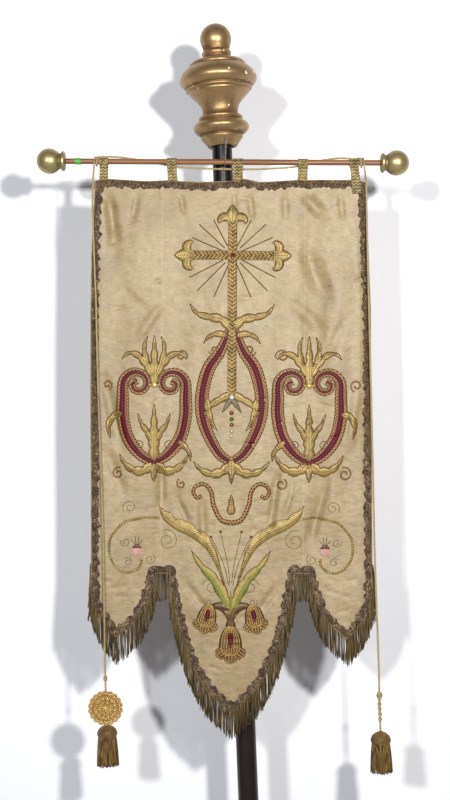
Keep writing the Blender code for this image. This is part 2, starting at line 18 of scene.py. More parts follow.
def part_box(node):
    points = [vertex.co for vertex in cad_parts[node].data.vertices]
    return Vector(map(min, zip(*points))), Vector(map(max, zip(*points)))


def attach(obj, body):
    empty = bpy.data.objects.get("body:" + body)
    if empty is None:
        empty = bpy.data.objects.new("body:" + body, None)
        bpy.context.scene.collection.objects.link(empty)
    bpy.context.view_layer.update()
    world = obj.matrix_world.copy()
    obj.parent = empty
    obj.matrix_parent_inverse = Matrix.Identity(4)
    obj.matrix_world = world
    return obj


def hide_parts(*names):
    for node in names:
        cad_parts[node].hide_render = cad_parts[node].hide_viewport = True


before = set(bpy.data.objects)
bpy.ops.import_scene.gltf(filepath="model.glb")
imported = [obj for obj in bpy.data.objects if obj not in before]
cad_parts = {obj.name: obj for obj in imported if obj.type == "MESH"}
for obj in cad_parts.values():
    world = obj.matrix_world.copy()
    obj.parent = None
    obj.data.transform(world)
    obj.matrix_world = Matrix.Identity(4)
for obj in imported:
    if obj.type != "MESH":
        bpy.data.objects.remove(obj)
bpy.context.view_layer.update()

# %% [markdown]
# ## The bar's own frame
# The bar hangs a little askew, so it is easier to draw everything on the cloth in the bar's
# own frame: *across* runs along the bar, *drop* runs down the cloth from the bar's axis, and
# *lift* is the height above the cloth's face. One function then lays such points on the folds.

# %% The bar's frame
BAR_MIDDLE = (-0.0041, -0.0365, 1.8002)
BAR_TILT = radians(1.8)
BAR_RADIUS = 0.0060
CLOTH_FRONT = -0.0050
HANG = Matrix.Translation(BAR_MIDDLE) @ Matrix.Rotation(BAR_TILT, 4, "Y")
TURN = np.array(HANG.to_3x3())
PLACE = np.array(HANG.translation)

low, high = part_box("crossbar")
print("bar from", round(low.x, 3), "to", round(high.x, 3), "at height", round((low.z + high.z) / 2, 3))

# %% [markdown]
# ## Camera, floor, wall and light
# The camera stands level with the middle of the cloth and is turned a little about its own
# line of sight, as hand-held cameras are. The wall behind is seen from its face only: from
# the back it lets the camera through, so that the back of the banner can be looked at. Two
# small lamps stand to the right and to the left of the camera. Each throws one soft-edged
# shadow of the banner on the wall, and a wide dim lamp behind serves the views of the back.

# %% Camera
CAMERA_AT = (-0.0340, -2.6515, 1.3000)
CAMERA_ROLL = radians(1.5)
camera_data = bpy.data.cameras.new("camera")
camera_data.lens = 55.9
camera_data.sensor_width = 36
camera = bpy.data.objects.new("camera", camera_data)
camera.location = CAMERA_AT
camera.rotation_euler = (pi / 2, CAMERA_ROLL, 0)
bpy.context.scene.collection.objects.link(camera)
bpy.context.scene.camera = camera
print("camera", round(Vector(CAMERA_AT).y - BAR_MIDDLE[1], 2), "m in front of the bar")

# %% Node helpers
def node(tree, kind, values=None, **settings):
    """Add a node. A value that is a socket is linked, and any other is set."""
    made = tree.nodes.new(kind)
    for key, value in settings.items():
        setattr(made, key, value)
    for key, value in (values or {}).items():
        if isinstance(value, bpy.types.NodeSocket):
            tree.links.new(value, made.inputs[key])
        else:
            made.inputs[key].default_value = value
    return made


def calc(tree, operation, first, second=0.0, third=0.0):
    """One step of arithmetic."""
    return node(tree, "ShaderNodeMath", {0: first, 1: second, 2: third}, operation=operation).outputs[0]


def paint(red, green, blue):
    """A display colour of 0 to 255 as the linear colour that a shader takes."""
    parts = [channel / 255 for channel in (red, green, blue)]
    return (*(p / 12.92 if p <= 0.04045 else ((p + 0.055) / 1.055) ** 2.4 for p in parts), 1)


def mixed(tree, factor, first, second):
    """The colour that runs from first to second as the factor goes from 0 to 1."""
    return node(tree, "ShaderNodeMix", {0: factor, 6: first, 7: second}, data_type="RGBA").outputs[2]


def spread(tree, value, low, high):
    """The value stretched so that low becomes 0 and high becomes 1."""
    return node(tree, "ShaderNodeMapRange", {0: value, 1: low, 2: high}).outputs[0]


def uv_map(tree):
    """The piece's own UV map, in metres."""
    return node(tree, "ShaderNodeUVMap", uv_map="UVMap").outputs[0]


def own_place(tree):
    """The place on the piece, in metres."""
    return node(tree, "ShaderNodeTexCoord").outputs["Object"]


def noise(tree, where, scale, detail, distortion=0.0):
    """Soft clouds of 0 to 1."""
    settings = {"Vector": where, "Scale": scale, "Detail": detail, "Distortion": distortion}
    return node(tree, "ShaderNodeTexNoise", settings).outputs[0]


def streaks(tree, where, scale, detail, distortion=0.0):
    """Noise with a scale of its own each way, which draws it out into streaks."""
    drawn_out = node(tree, "ShaderNodeMapping", {0: where, "Scale": scale}).outputs[0]
    return noise(tree, drawn_out, 1.0, detail, distortion)


def diamonds(tree, uv, pitch):
    """A net of small diamonds: the product of two waves that cross."""
    parts = node(tree, "ShaderNodeSeparateXYZ", {0: uv}).outputs
    one, two = (calc(tree, "SINE", calc(tree, "MULTIPLY", calc(tree, way, parts[0], parts[1]), tau / pitch))
                for way in ("ADD", "SUBTRACT"))
    return calc(tree, "MULTIPLY_ADD", calc(tree, "MULTIPLY", one, two), 0.5, 0.5)


def stained(tree, colour, mask, strength, stain):
    """The colour, turned towards a stain where the mask is high."""
    return mixed(tree, calc(tree, "MULTIPLY", mask, strength), colour, stain)


def new_look(name, roughness=0.5, metallic=0.0):
    """A material, its tree and its Principled shader."""
    made = bpy.data.materials.new(name)
    made.use_nodes = True
    shader = made.node_tree.nodes["Principled BSDF"]
    shader.inputs["Roughness"].default_value = roughness
    shader.inputs["Metallic"].default_value = metallic
    return made, made.node_tree, shader


def put(tree, socket, shader, name):
    """Let a socket drive one input of the shader."""
    tree.links.new(socket, shader.inputs[name])


def bump(tree, shader, height, strength, distance):
    """Raise the surface by a height of 0 to 1 times the distance."""
    made = node(tree, "ShaderNodeBump", {"Height": height, "Strength": strength, "Distance": distance})
    put(tree, made.outputs[0], shader, "Normal")


print("helpers for materials ready")

# %% Floor and wall
WALL_BEHIND = 0.26
STAGE_WIDE = 9.0
STAGE_TALL = 4.5


def finished_mesh(name, bm):
    """The worked shape as a mesh of its own."""
    mesh = bpy.data.meshes.new(name)
    bm.to_mesh(mesh)
    bm.free()
    return mesh


def stage_plane(name, corners, colour, see_through_back):
    """A flat matt plane that isn't part of the object."""
    look, tree, shader = new_look(name, 0.9)
    where = own_place(tree)
    cloud = noise(tree, where, 1.2, 2.0)
    darker = tuple(part * 0.96 for part in colour[:3]) + (1,)
    put(tree, mixed(tree, spread(tree, cloud, 0.35, 0.65), colour, darker), shader, "Base Color")
    if see_through_back:
        clear = node(tree, "ShaderNodeBsdfTransparent")
        back = node(tree, "ShaderNodeNewGeometry").outputs["Backfacing"]
        both = node(tree, "ShaderNodeMixShader", {0: back, 1: shader.outputs[0], 2: clear.outputs[0]})
        tree.links.new(both.outputs[0], tree.nodes["Material Output"].inputs[0])
    bm = bmesh.new()
    bm.faces.new([bm.verts.new(corner) for corner in corners])
    mesh = finished_mesh(name, bm)
    mesh.materials.append(look)
    plane = bpy.data.objects.new(name, mesh)
    bpy.context.scene.collection.objects.link(plane)
    return plane


half = STAGE_WIDE / 2
stage_plane("floor", ((-half, -half, 0), (half, -half, 0), (half, half, 0), (-half, half, 0)),
            paint(152, 152, 155), False)
wall = stage_plane("wall", ((-half, WALL_BEHIND, 0), (half, WALL_BEHIND, 0), (half, WALL_BEHIND, STAGE_TALL),
                            (-half, WALL_BEHIND, STAGE_TALL)), paint(238, 239, 244), True)
wall.visible_shadow = False
print("floor and wall ready")

# %% Light
def area_light(name, at, aim, size, power, colour):
    """A square lamp that points at the aim."""
    data = bpy.data.lights.new(name, "AREA")
    data.size = size
    data.energy = power
    data.color = colour
    lamp = bpy.data.objects.new(name, data)
    lamp.location = at
    lamp.rotation_euler = (Vector(aim) - Vector(at)).to_track_quat("-Z", "Y").to_euler()
    bpy.context.scene.collection.objects.link(lamp)


# name, place, what it points at, width, watts, colour
LAMPS = (("key_right", (0.62, -2.4, 1.80), (0, 0.1, 1.25), 0.12, 67, (1.0, 0.985, 0.96)),
         ("key_left", (-1.05, -3.6, 1.94), (0, 0.1, 1.2), 0.20, 89, (0.97, 0.985, 1.0)),
         ("back_soft", (0.6, 2.6, 2.4), (0, 0, 1.2), 1.8, 24, (1.0, 1.0, 1.0)))
for lamp_row in LAMPS:
    area_light(*lamp_row)
world = bpy.data.worlds.new("studio")
world.use_nodes = True
sky = world.node_tree.nodes["Background"]
sky.inputs["Color"].default_value = (0.86, 0.92, 1.0, 1)
sky.inputs["Strength"].default_value = 0.03
bpy.context.scene.world = world
bpy.context.scene.view_settings.view_transform = "Standard"
print(len(LAMPS), "lamps and a faint sky")

# %% [markdown]
# ## Lines, threads and patches
# Nearly everything on a banner is a thread laid along a line, or a patch of stitches. So two
# makers do most of the work: one runs round threads along lines, as bevelled curves, and one
# bends grids into patches. Both keep lengths in metres in the UV map, so that twists and
# stitches keep their real size along every piece.

# %% Smooth lines
def even_steps(line, step):
    """The same line with its points a step apart."""
    line = np.asarray(line, float)
    lengths = np.r_[0, np.cumsum(np.linalg.norm(np.diff(line, axis=0), axis=1))]
    count = max(2, int(round(lengths[-1] / step)) + 1)
    places = np.linspace(0, lengths[-1], count)
    return np.column_stack([np.interp(places, lengths, column) for column in line.T])


def smooth_run(points, step):
    """A smooth line through the points, with a step between its own points."""
    points = np.asarray(points, float)
    ends = np.vstack([2 * points[0] - points[1], points, 2 * points[-1] - points[-2]])
    t = np.linspace(0, 1, 16, endpoint=False)[:, None]
    spans = [0.5 * (2 * b + (c - a) * t + (2 * a - 5 * b + 4 * c - d) * t ** 2
                    + (3 * b - a - 3 * c + d) * t ** 3)
             for a, b, c, d in zip(ends, ends[1:], ends[2:], ends[3:])]
    return even_steps(np.vstack([*spans, points[-1:]]), step)


def share_along(line):
    """How far along the line each point is, from 0 to 1."""
    return np.linspace(0, 1, len(line))


def run_length(line):
    """The length along a line's points, in metres."""
    return float(np.linalg.norm(np.diff(line, axis=0), axis=1).sum())


def side_way(line):
    """The sideways direction at each point of a flat line."""
    ahead = np.gradient(line, axis=0)
    ahead /= np.linalg.norm(ahead, axis=1)[:, None]
    return np.column_stack([ahead[:, 1], -ahead[:, 0]])


def mirrored(points):
    """The points on the other side of the cloth's middle."""
    return [(-point[0], *point[1:]) for point in points]


print("a smooth line through 3 points has", len(smooth_run(((0, 0), (1, 1), (2, 0)), 0.1)), "points")

# %% Threads and patches
def thread_mesh(name, runs, radius, resolution=1, taper=None):
    """One mesh of many round threads. Its UV map is metres along and turns around."""
    curve = bpy.data.curves.new(name, "CURVE")
    curve.dimensions = "3D"
    curve.bevel_depth = radius
    curve.bevel_resolution = resolution
    for run in runs:
        spline = curve.splines.new("POLY")
        spline.points.add(len(run) - 1)
        spline.points.foreach_set("co", np.column_stack([run, np.ones(len(run))]).ravel())
        if taper is not None:
            sizes = np.interp(share_along(run), share_along(taper), taper)
            spline.points.foreach_set("radius", sizes)
    holder = bpy.data.objects.new(name, curve)
    bpy.context.scene.collection.objects.link(holder)
    bpy.context.view_layer.update()
    mesh = bpy.data.meshes.new_from_object(holder.evaluated_get(bpy.context.evaluated_depsgraph_get()))
    bpy.data.objects.remove(holder)
    bpy.data.curves.remove(curve)
    sides = 4 + 2 * resolution
    layer = mesh.uv_layers[0].data
    uv = np.zeros(len(layer) * 2)
    layer.foreach_get("uv", uv)
    along = uv[0::2]
    start = 0
    for run in runs:
        end = start + (len(run) - 1) * sides * 4
        along[start:end] *= run_length(run)
        start = end
    layer.foreach_set("uv", uv)
    bm = bmesh.new()
    bm.from_mesh(mesh)
    bmesh.ops.holes_fill(bm, edges=[edge for edge in bm.edges if edge.is_boundary], sides=sides)
    bm.to_mesh(mesh)
    bm.free()
    mesh.name = name
    return mesh


class Patches:
    """Grids bent into shape and gathered in one mesh, with a UV map in metres."""

    def __init__(self):
        self.bm = bmesh.new()
        self.uv = self.bm.loops.layers.uv.new("UVMap")

    def add(self, points, along, across):
        """points is rows by columns by 3, and along and across are its UV values."""
        rows, columns = points.shape[:2]
        made = bmesh.ops.create_grid(self.bm, x_segments=columns - 1, y_segments=rows - 1, size=1)
        for vert, point, u, v in zip(made["verts"], points.reshape(-1, 3), along.ravel(), across.ravel()):
            vert.co = point
            for loop in vert.link_loops:
                loop[self.uv].uv = (u, v)

    def mesh(self, name):
        return finished_mesh(name, self.bm)


def piece(name, mesh, look, replaces=(), thick=0.0, smooth=True):
    """Link a finished piece, which rides on the one rigid body."""
    made = bpy.data.objects.new(name, mesh)
    mesh.materials.clear()
    mesh.materials.append(look)
    if smooth:
        mesh.shade_smooth()
    bpy.context.scene.collection.objects.link(made)
    if thick:
        skin = made.modifiers.new("thickness", "SOLIDIFY")
        skin.thickness = thick
        skin.offset = -1.0
    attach(made, "root")
    if replaces:
        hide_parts(*replaces)
    print(name, len(mesh.polygons), "faces")
    return made


# %% [markdown]
# ## Shared effects
# Three effects turn up in many finishes, so each is a node group: the ridges of a twisted
# thread, the rows of laid stitches, and the uneven darkening of old metal thread. A group
# gives out only a mask, and each finish decides what the mask does.

# %% Node groups
def new_group(name, inputs, outputs):
    """An empty node group with its sockets, ready to be filled."""
    group = bpy.data.node_groups.new(name, "ShaderNodeTree")
    for label, kind, value in inputs:
        socket = group.interface.new_socket(name=label, in_out="INPUT", socket_type=kind)
        if value is not None:
            socket.default_value = value
    for label in outputs:
        group.interface.new_socket(name=label, in_out="OUTPUT", socket_type="NodeSocketFloat")
    return group, node(group, "NodeGroupInput").outputs, node(group, "NodeGroupOutput")


def twist_group():
    """Ridges that wind round a thread: UV x is metres along, UV y is turns around."""
    group, given, out = new_group("Twisted thread", (("UV", "NodeSocketVector", None),
                                                     ("Pitch", "NodeSocketFloat", 0.004),
                                                     ("Plies", "NodeSocketFloat", 2.0)), ("Ridge",))
    parts = node(group, "ShaderNodeSeparateXYZ", {0: given["UV"]}).outputs
    along = calc(group, "DIVIDE", parts[0], given["Pitch"])
    turns = calc(group, "MULTIPLY_ADD", parts[1], given["Plies"], along)
    wave = calc(group, "COSINE", calc(group, "MULTIPLY", turns, tau))
    group.links.new(calc(group, "MULTIPLY_ADD", wave, 0.5, 0.5), out.inputs["Ridge"])
    return group


def stitch_group():
    """Rows of laid stitches: UV x and y are metres along and across the patch."""
    group, given, out = new_group("Laid stitches", (("UV", "NodeSocketVector", None),
                                                    ("Spacing", "NodeSocketFloat", 0.0012),
                                                    ("Slant", "NodeSocketFloat", 0.6)), ("Ridge",))
    parts = node(group, "ShaderNodeSeparateXYZ", {0: given["UV"]}).outputs
    away = calc(group, "ABSOLUTE", parts[1])
    line = calc(group, "MULTIPLY_ADD", away, given["Slant"], parts[0])
    line = calc(group, "MULTIPLY_ADD", noise(group, given["UV"], 260.0, 1.0), 0.0008, line)
    wave = calc(group, "COSINE", calc(group, "MULTIPLY", calc(group, "DIVIDE", line, given["Spacing"]), tau))
    group.links.new(calc(group, "MULTIPLY_ADD", wave, 0.5, 0.5), out.inputs["Ridge"])
    return group


def age_group():
    """Uneven darkening: coarse clouds broken up by fine specks."""
    group, given, out = new_group("Age", (("Vector", "NodeSocketVector", None),
                                          ("Size", "NodeSocketFloat", 0.05),
                                          ("Share", "NodeSocketFloat", 0.5)), ("Mask",))
    scale = calc(group, "DIVIDE", 1.0, given["Size"])
    cloud = noise(group, given["Vector"], scale, 3.0)
    specks = noise(group, given["Vector"], calc(group, "MULTIPLY", scale, 9.0), 2.0)
    both = calc(group, "MULTIPLY_ADD", specks, 0.45, calc(group, "MULTIPLY", cloud, 0.55))
    edge = calc(group, "SUBTRACT", 1.0, given["Share"])
    low_edge = calc(group, "MULTIPLY_ADD", edge, 0.5, 0.17)
    made = node(group, "ShaderNodeMapRange", {0: both, 1: low_edge, 2: calc(group, "ADD", low_edge, 0.16)})
    group.links.new(made.outputs[0], out.inputs["Mask"])
    return group


TWIST = twist_group()
STITCHES = stitch_group()
AGE = age_group()


def effect(tree, group, values):
    """Place a shared effect in a material, with the material's own values."""
    return node(tree, "ShaderNodeGroup", values, node_tree=group).outputs[0]


def thread_look(name, light, dark, pitch, plies=2.0, metallic=0.5, roughness=0.4, aged=0.4, depth=0.0004):
    """Twisted thread: bright on its ridges, with painted shade between them, and darker where it has
    tarnished.
    """
    look, tree, shader = new_look(name, roughness, metallic)
    uv = uv_map(tree)
    where = own_place(tree)
    ridge = effect(tree, TWIST, {"UV": uv, "Pitch": pitch, "Plies": plies})
    age = effect(tree, AGE, {"Vector": where, "Size": 0.02, "Share": aged})
    # painted shade: the ridge mask darkens the colour between the plies; the age mask adds tarnish
    shown = calc(tree, "MULTIPLY", ridge, calc(tree, "SUBTRACT", 1.0, calc(tree, "MULTIPLY", age, 0.8)))
    put(tree, mixed(tree, shown, dark, light), shader, "Base Color")
    put(tree, calc(tree, "MULTIPLY_ADD", age, 0.25, roughness), shader, "Roughness")
    bump(tree, shader, ridge, 0.8, depth)
    return look


def strand_look(name, light, dark, pitch):
    """Bullion strands, each a little brighter or darker than its neighbours, with painted shade in their
    twist.
    """
    look, tree, shader = new_look(name, 0.36, 0.5)
    uv = uv_map(tree)
    where = own_place(tree)
    each = streaks(tree, where, (820.0, 420.0, 22.0), 1.0)
    ridge = effect(tree, TWIST, {"UV": uv, "Pitch": pitch, "Plies": 1.0})
    # painted shade: the colour darkens between the turns of the twist
    rounded = calc(tree, "MULTIPLY_ADD", ridge, 0.5, 0.5)
    shown = calc(tree, "MULTIPLY", rounded, spread(tree, each, 0.36, 0.66))
    put(tree, mixed(tree, shown, dark, light), shader, "Base Color")
    bump(tree, shader, ridge, 0.8, 0.0004)
    return look


def stitch_look(name, light, dark, spacing=0.0012, slant=0.6, metallic=0.3, roughness=0.42, aged=0.35):
    """A patch of laid stitches, with painted shade between the rows."""
    look, tree, shader = new_look(name, roughness, metallic)
    uv = uv_map(tree)
    where = own_place(tree)
    ridge = effect(tree, STITCHES, {"UV": uv, "Spacing": spacing, "Slant": slant})
    age = effect(tree, AGE, {"Vector": where, "Size": 0.012, "Share": aged})
    # painted shade: the colour darkens between the rows of stitches, and where the age mask is high
    row_shading = calc(tree, "MULTIPLY_ADD", ridge, 0.6, 0.4)
    shown = calc(tree, "SUBTRACT", row_shading, calc(tree, "MULTIPLY", age, 0.6))
    put(tree, mixed(tree, shown, dark, light), shader, "Base Color")
    bump(tree, shader, ridge, 0.7, 0.0003)
    return look


print("groups:", [group.name for group in bpy.data.node_groups])

# %% Thread finishes
def crimson_look():
    """Crimson floss laid in small diamonds, with darker stitches between them."""
    look, tree, shader = new_look("crimson floss", 0.6)
    uv = uv_map(tree)
    where = own_place(tree)
    net = diamonds(tree, uv, 0.0105)
    age = effect(tree, AGE, {"Vector": where, "Size": 0.006, "Share": 0.45})
    colour = mixed(tree, spread(tree, net, 0.36, 0.70), paint(26, 5, 8), paint(118, 18, 27))
    put(tree, stained(tree, colour, age, 0.5, paint(60, 14, 16)), shader, "Base Color")
    shader.inputs["Specular IOR Level"].default_value = 0.2
    bump(tree, shader, net, 0.8, 0.0005)
    return look


# threads: colour of the ridges, colour of the painted shade between them, pitch of the twist,
# plies, and then how metallic, how rough and how tarnished
TARNISHED = thread_look("tarnished lace", paint(172, 144, 106), paint(36, 24, 15), 0.0034, 2, 0.25, 0.42, 0.5)
OLIVE_CORD = thread_look("olive gold cord", paint(208, 188, 136), paint(96, 78, 44), 0.0030, 2,
                         0.15, 0.45, 0.25)
GOLD_CORD = thread_look("couched gold", paint(162, 132, 70), paint(66, 46, 18), 0.0030, 2, 0.3, 0.4, 0.35)
BROWN_CORD = thread_look("couched brown", paint(104, 72, 40), paint(38, 24, 13), 0.0022, 2, 0.2, 0.5, 0.3)
ROSETTE_GOLD = thread_look("bright gold thread", paint(232, 194, 112), paint(96, 64, 22), 0.0024, 2,
                           0.3, 0.34, 0.25)
BULLION = strand_look("tarnished bullion", paint(134, 110, 64), paint(18, 12, 6), 0.0034)
TASSEL_GOLD = strand_look("tassel gold", paint(176, 140, 74), paint(30, 19, 8), 0.0028)
# laid stitches: stitch colour, colour of painted shade and age, spacing, slant, how metallic and how rough
GOLD_LEAF = stitch_look("gold leaf stitches", paint(160, 134, 68), paint(54, 40, 15), 0.0044, 0.9, 0.3, 0.42)
GREEN_FLOSS = stitch_look("green floss", paint(118, 122, 24), paint(66, 76, 12), 0.0030, 0.8, 0.0, 0.5)
YELLOW_FLOSS = stitch_look("yellow floss", paint(166, 140, 56), paint(98, 80, 28), 0.0030, 0.8, 0.0, 0.5)
PINK_FLOSS = stitch_look("pink floss", paint(196, 158, 146), paint(150, 96, 92), 0.0012, 0.8, 0.0, 0.5)
CRIMSON = crimson_look()
print(len(bpy.data.materials), "finishes so far")

# %% [markdown]
# ## The shape of the hanging cloth
# The cloth hangs in soft folds that the imported model already has. The same folds are needed
# here as numbers, because lace, fringe and embroidery all follow them. Each fold is a swell
# that wanders from one place at its top to another at its foot and fades at both ends. The
# smaller creases are listed too, as short soft troughs between two points.

# %% Outline and folds of the imported cloth
TOP_EDGE = ((-0.2890, 0.0420), (-0.2655, 0.0379), (-0.1825, 0.0427), (-0.1390, 0.0404), (-0.0754, 0.0439),
            (-0.0103, 0.0418), (0.0233, 0.0364), (0.0569, 0.0436), (0.1367, 0.0383), (0.2501, 0.0378),
            (0.2790, 0.0416))
SIDE_EDGES = ((0.0416, -0.2890, 0.2790), (0.2000, -0.2960, 0.2865), (0.3100, -0.2975, 0.2915),
              (0.5400, -0.2965, 0.2930), (0.7000, -0.2945, 0.2955), (0.8500, -0.2938, 0.2972))
HALF_HEM = ((0.0270, 1.1330), (0.0520, 1.1100), (0.0750, 1.0730), (0.0910, 1.0410), (0.1050, 0.9975),
            (0.1145, 0.9620), (0.1225, 0.9280), (0.1285, 0.9000), (0.1320, 0.8655), (0.1620, 0.8655),
            (0.1655, 0.8900), (0.1780, 0.9280), (0.1940, 0.9570), (0.2180, 0.9820), (0.2430, 1.0003),
            (0.2660, 0.9765), (0.2845, 0.9465), (0.2945, 0.9165))
MIDDLE_TIP = 1.1561
HEM_SWAY = 0.0022
# top across, foot across, first drop, last drop, reach, push back
FOLDS = ((-0.256, -0.250, 0.050, 0.260, 0.024, 0.0050), (-0.190, -0.205, 0.090, 0.720, 0.050, -0.0050),
         (-0.105, -0.130, 0.120, 0.800, 0.045, 0.0050), (-0.020, -0.030, 0.060, 0.560, 0.045, -0.0045),
         (0.075, 0.055, 0.180, 0.860, 0.050, 0.0055), (0.165, 0.175, 0.060, 0.480, 0.035, 0.0055),
         (0.225, 0.205, 0.160, 0.800, 0.040, -0.0045), (-0.150, -0.150, 0.600, 0.860, 0.025, 0.0040),
         (0.200, 0.160, 0.600, 0.860, 0.028, 0.0045), (0.000, 0.000, 0.820, 1.300, 0.120, -0.0060),
         (-0.240, -0.245, 0.840, 1.150, 0.060, 0.0035), (0.245, 0.250, 0.840, 1.150, 0.060, -0.0040))
FOLD_FADE = 0.090
EDGE_CURL = 0.0075
CURL_REACH = 0.026


def ramp(value, start, end):
    """Rises softly from 0 at the start to 1 at the end."""
    share = np.clip((value - start) / (end - start), 0, 1)
    return share * share * (3 - 2 * share)


def swell(value, reach):
    """A soft rounded bump, 1 at its middle and 0 beyond its reach."""
    return np.where(np.abs(value) < reach, np.cos(pi / 2 * value / reach) ** 2, 0.0)


def between(rows, value, column=1):
    """Reads one column of a table at a value that lies between its rows."""
    return np.interp(value, [row[0] for row in rows], [row[column] for row in rows])


def fold_depth(across, drop):
    """How far behind its flat place the cloth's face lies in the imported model."""
    depth = 0.0
    for top, foot, first, last, reach, push in FOLDS:
        middle = top + (foot - top) * (drop - first) / (last - first)
        fade = ramp(drop, first, first + FOLD_FADE) * (1 - ramp(drop, last - FOLD_FADE, last))
        depth = depth + push * fade * swell(across - middle, reach)
    left = between(SIDE_EDGES, drop, 1)
    right = between(SIDE_EDGES, drop, 2)
    left_curl = ramp(across, left + CURL_REACH, left) * ramp(drop, 0.10, 0.30)
    right_curl = ramp(across, right - CURL_REACH, right) * ramp(drop, 0.06, 0.20)
    return depth + EDGE_CURL * (0.6 * left_curl + right_curl * (1 - 0.6 * ramp(drop, 0.5, 0.8)))


print("deepest fold of the packed cloth", round(max(abs(row[-1]) for row in FOLDS), 4), "m")

# %% Smaller creases
CREASE_STRENGTH = 2.2
# across and drop at one end, the same at the other, reach, push back
CREASES = [
    (-0.262, 0.070, -0.247, 0.165, 0.016, 0.0040), (0.150, 0.066, 0.190, 0.112, 0.020, 0.0036),
    (0.155, 0.190, 0.200, 0.290, 0.028, 0.0040), (-0.148, 0.648, -0.146, 0.721, 0.012, 0.0034),
    (-0.062, 0.711, -0.058, 0.789, 0.013, 0.0030), (0.098, 0.648, 0.082, 0.774, 0.013, 0.0036),
    (0.203, 0.669, 0.166, 0.795, 0.014, 0.0036), (-0.273, 0.444, -0.228, 0.612, 0.020, 0.0034),
    (-0.262, 0.610, -0.226, 0.700, 0.018, 0.0026), (0.262, 0.480, 0.248, 0.600, 0.016, -0.0026),
    (0.002, 0.062, 0.006, 0.100, 0.009, 0.0022), (0.034, 0.062, 0.042, 0.120, 0.010, 0.0024),
    (-0.110, 0.064, -0.102, 0.110, 0.010, 0.0018), (-0.200, 0.064, -0.212, 0.130, 0.012, 0.0018),
    (0.108, 0.064, 0.112, 0.120, 0.012, -0.0016), (0.225, 0.064, 0.232, 0.120, 0.010, 0.0020),
    (-0.230, 0.270, -0.170, 0.330, 0.020, 0.0016), (-0.150, 0.300, -0.196, 0.372, 0.016, -0.0018),
    (0.120, 0.290, 0.190, 0.352, 0.020, 0.0018), (0.236, 0.330, 0.196, 0.420, 0.018, 0.0018),
    (-0.118, 0.700, -0.090, 0.760, 0.012, 0.0022), (0.130, 0.690, 0.112, 0.740, 0.011, -0.0018),
    (-0.100, 0.880, -0.062, 0.930, 0.013, 0.0022), (0.098, 0.890, 0.060, 0.944, 0.013, 0.0022),
    (0.015, 0.0766, 0.032, 0.0772, 0.0050, 0.0016), (-0.245, 0.893, -0.216, 0.895, 0.0060, 0.0018),
]
pucker_draw = random.Random(11)
PUCKER_FIELDS = ((-0.110, 0.110, 0.930, 1.060, 12), (0.190, 0.275, 0.870, 0.960, 6),
                 (-0.275, -0.190, 0.880, 0.960, 5), (-0.250, 0.250, 0.400, 0.660, 16),
                 (-0.120, 0.120, 0.740, 0.900, 9), (-0.270, 0.270, 0.140, 0.380, 8))
for x_low, x_high, d_low, d_high, count in PUCKER_FIELDS:
    for index in range(count):
        x = pucker_draw.uniform(x_low, x_high)
        d = pucker_draw.uniform(d_low, d_high)
        long = pucker_draw.uniform(0.010, 0.030)
        rise = pucker_draw.uniform(-0.35, 0.35) * long
        push = pucker_draw.uniform(0.0007, 0.0015)
        CREASES.append((x, d, x + long, d + rise, 0.0058, push))


def crease_depth(across, drop):
    """How far behind the folds' surface the small creases push the cloth."""
    depth = 0.0
    for x1, d1, x2, d2, reach, push in CREASES:
        long = hypot(x2 - x1, d2 - d1)
        along = ((across - x1) * (x2 - x1) + (drop - d1) * (d2 - d1)) / long
        away = ((across - x1) * (d2 - d1) - (drop - d1) * (x2 - x1)) / long
        fade = ramp(along, -reach, 0.3 * long) * (1 - ramp(along, 0.7 * long, long + reach))
        depth = depth + push * fade * swell(away, reach)
    return CREASE_STRENGTH * depth * ramp(drop, 0.055, 0.085)


def on_cloth(across, drop, lift=0.0):
    """Points of the shared frame that lie a little above the cloth's face."""
    across, drop, lift = np.broadcast_arrays(np.asarray(across, float), drop, lift)
    depth = CLOTH_FRONT + fold_depth(across, drop) + crease_depth(across, drop) - lift
    local = np.stack([across, depth, -drop], axis=-1)
    return local @ TURN.T + PLACE


def off_bar(points):
    """Points given as across, depth and height in the bar's frame."""
    return np.asarray(points, float) @ TURN.T + PLACE


def hem_line():
    """The lower edge from the left side's foot, round the lappets, to the right side's."""
    right = [(across + HEM_SWAY, drop) for across, drop in HALF_HEM]
    left = [(HEM_SWAY - across, drop) for across, drop in reversed(HALF_HEM)]
    foot, left_edge, right_edge = SIDE_EDGES[-1]
    return np.array([(left_edge, foot), *left, (HEM_SWAY, MIDDLE_TIP), *right, (right_edge, foot)])


HEM = hem_line()
print(len(FOLDS), "folds,", len(CREASES), "creases, hem", round(run_length(HEM), 3), "m round")

# %% [markdown]
# ## The cords
# A church banner's cord is hitched round each end of the bar and hangs down beside the
# cloth. It is two plies of pale gold thread laid up together, about 5 mm thick. A ply is a
# thread that winds round the cord's own line, so two plies half a turn apart make the rope.
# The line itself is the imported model's route: plumb, because a cord under a tassel is taut.

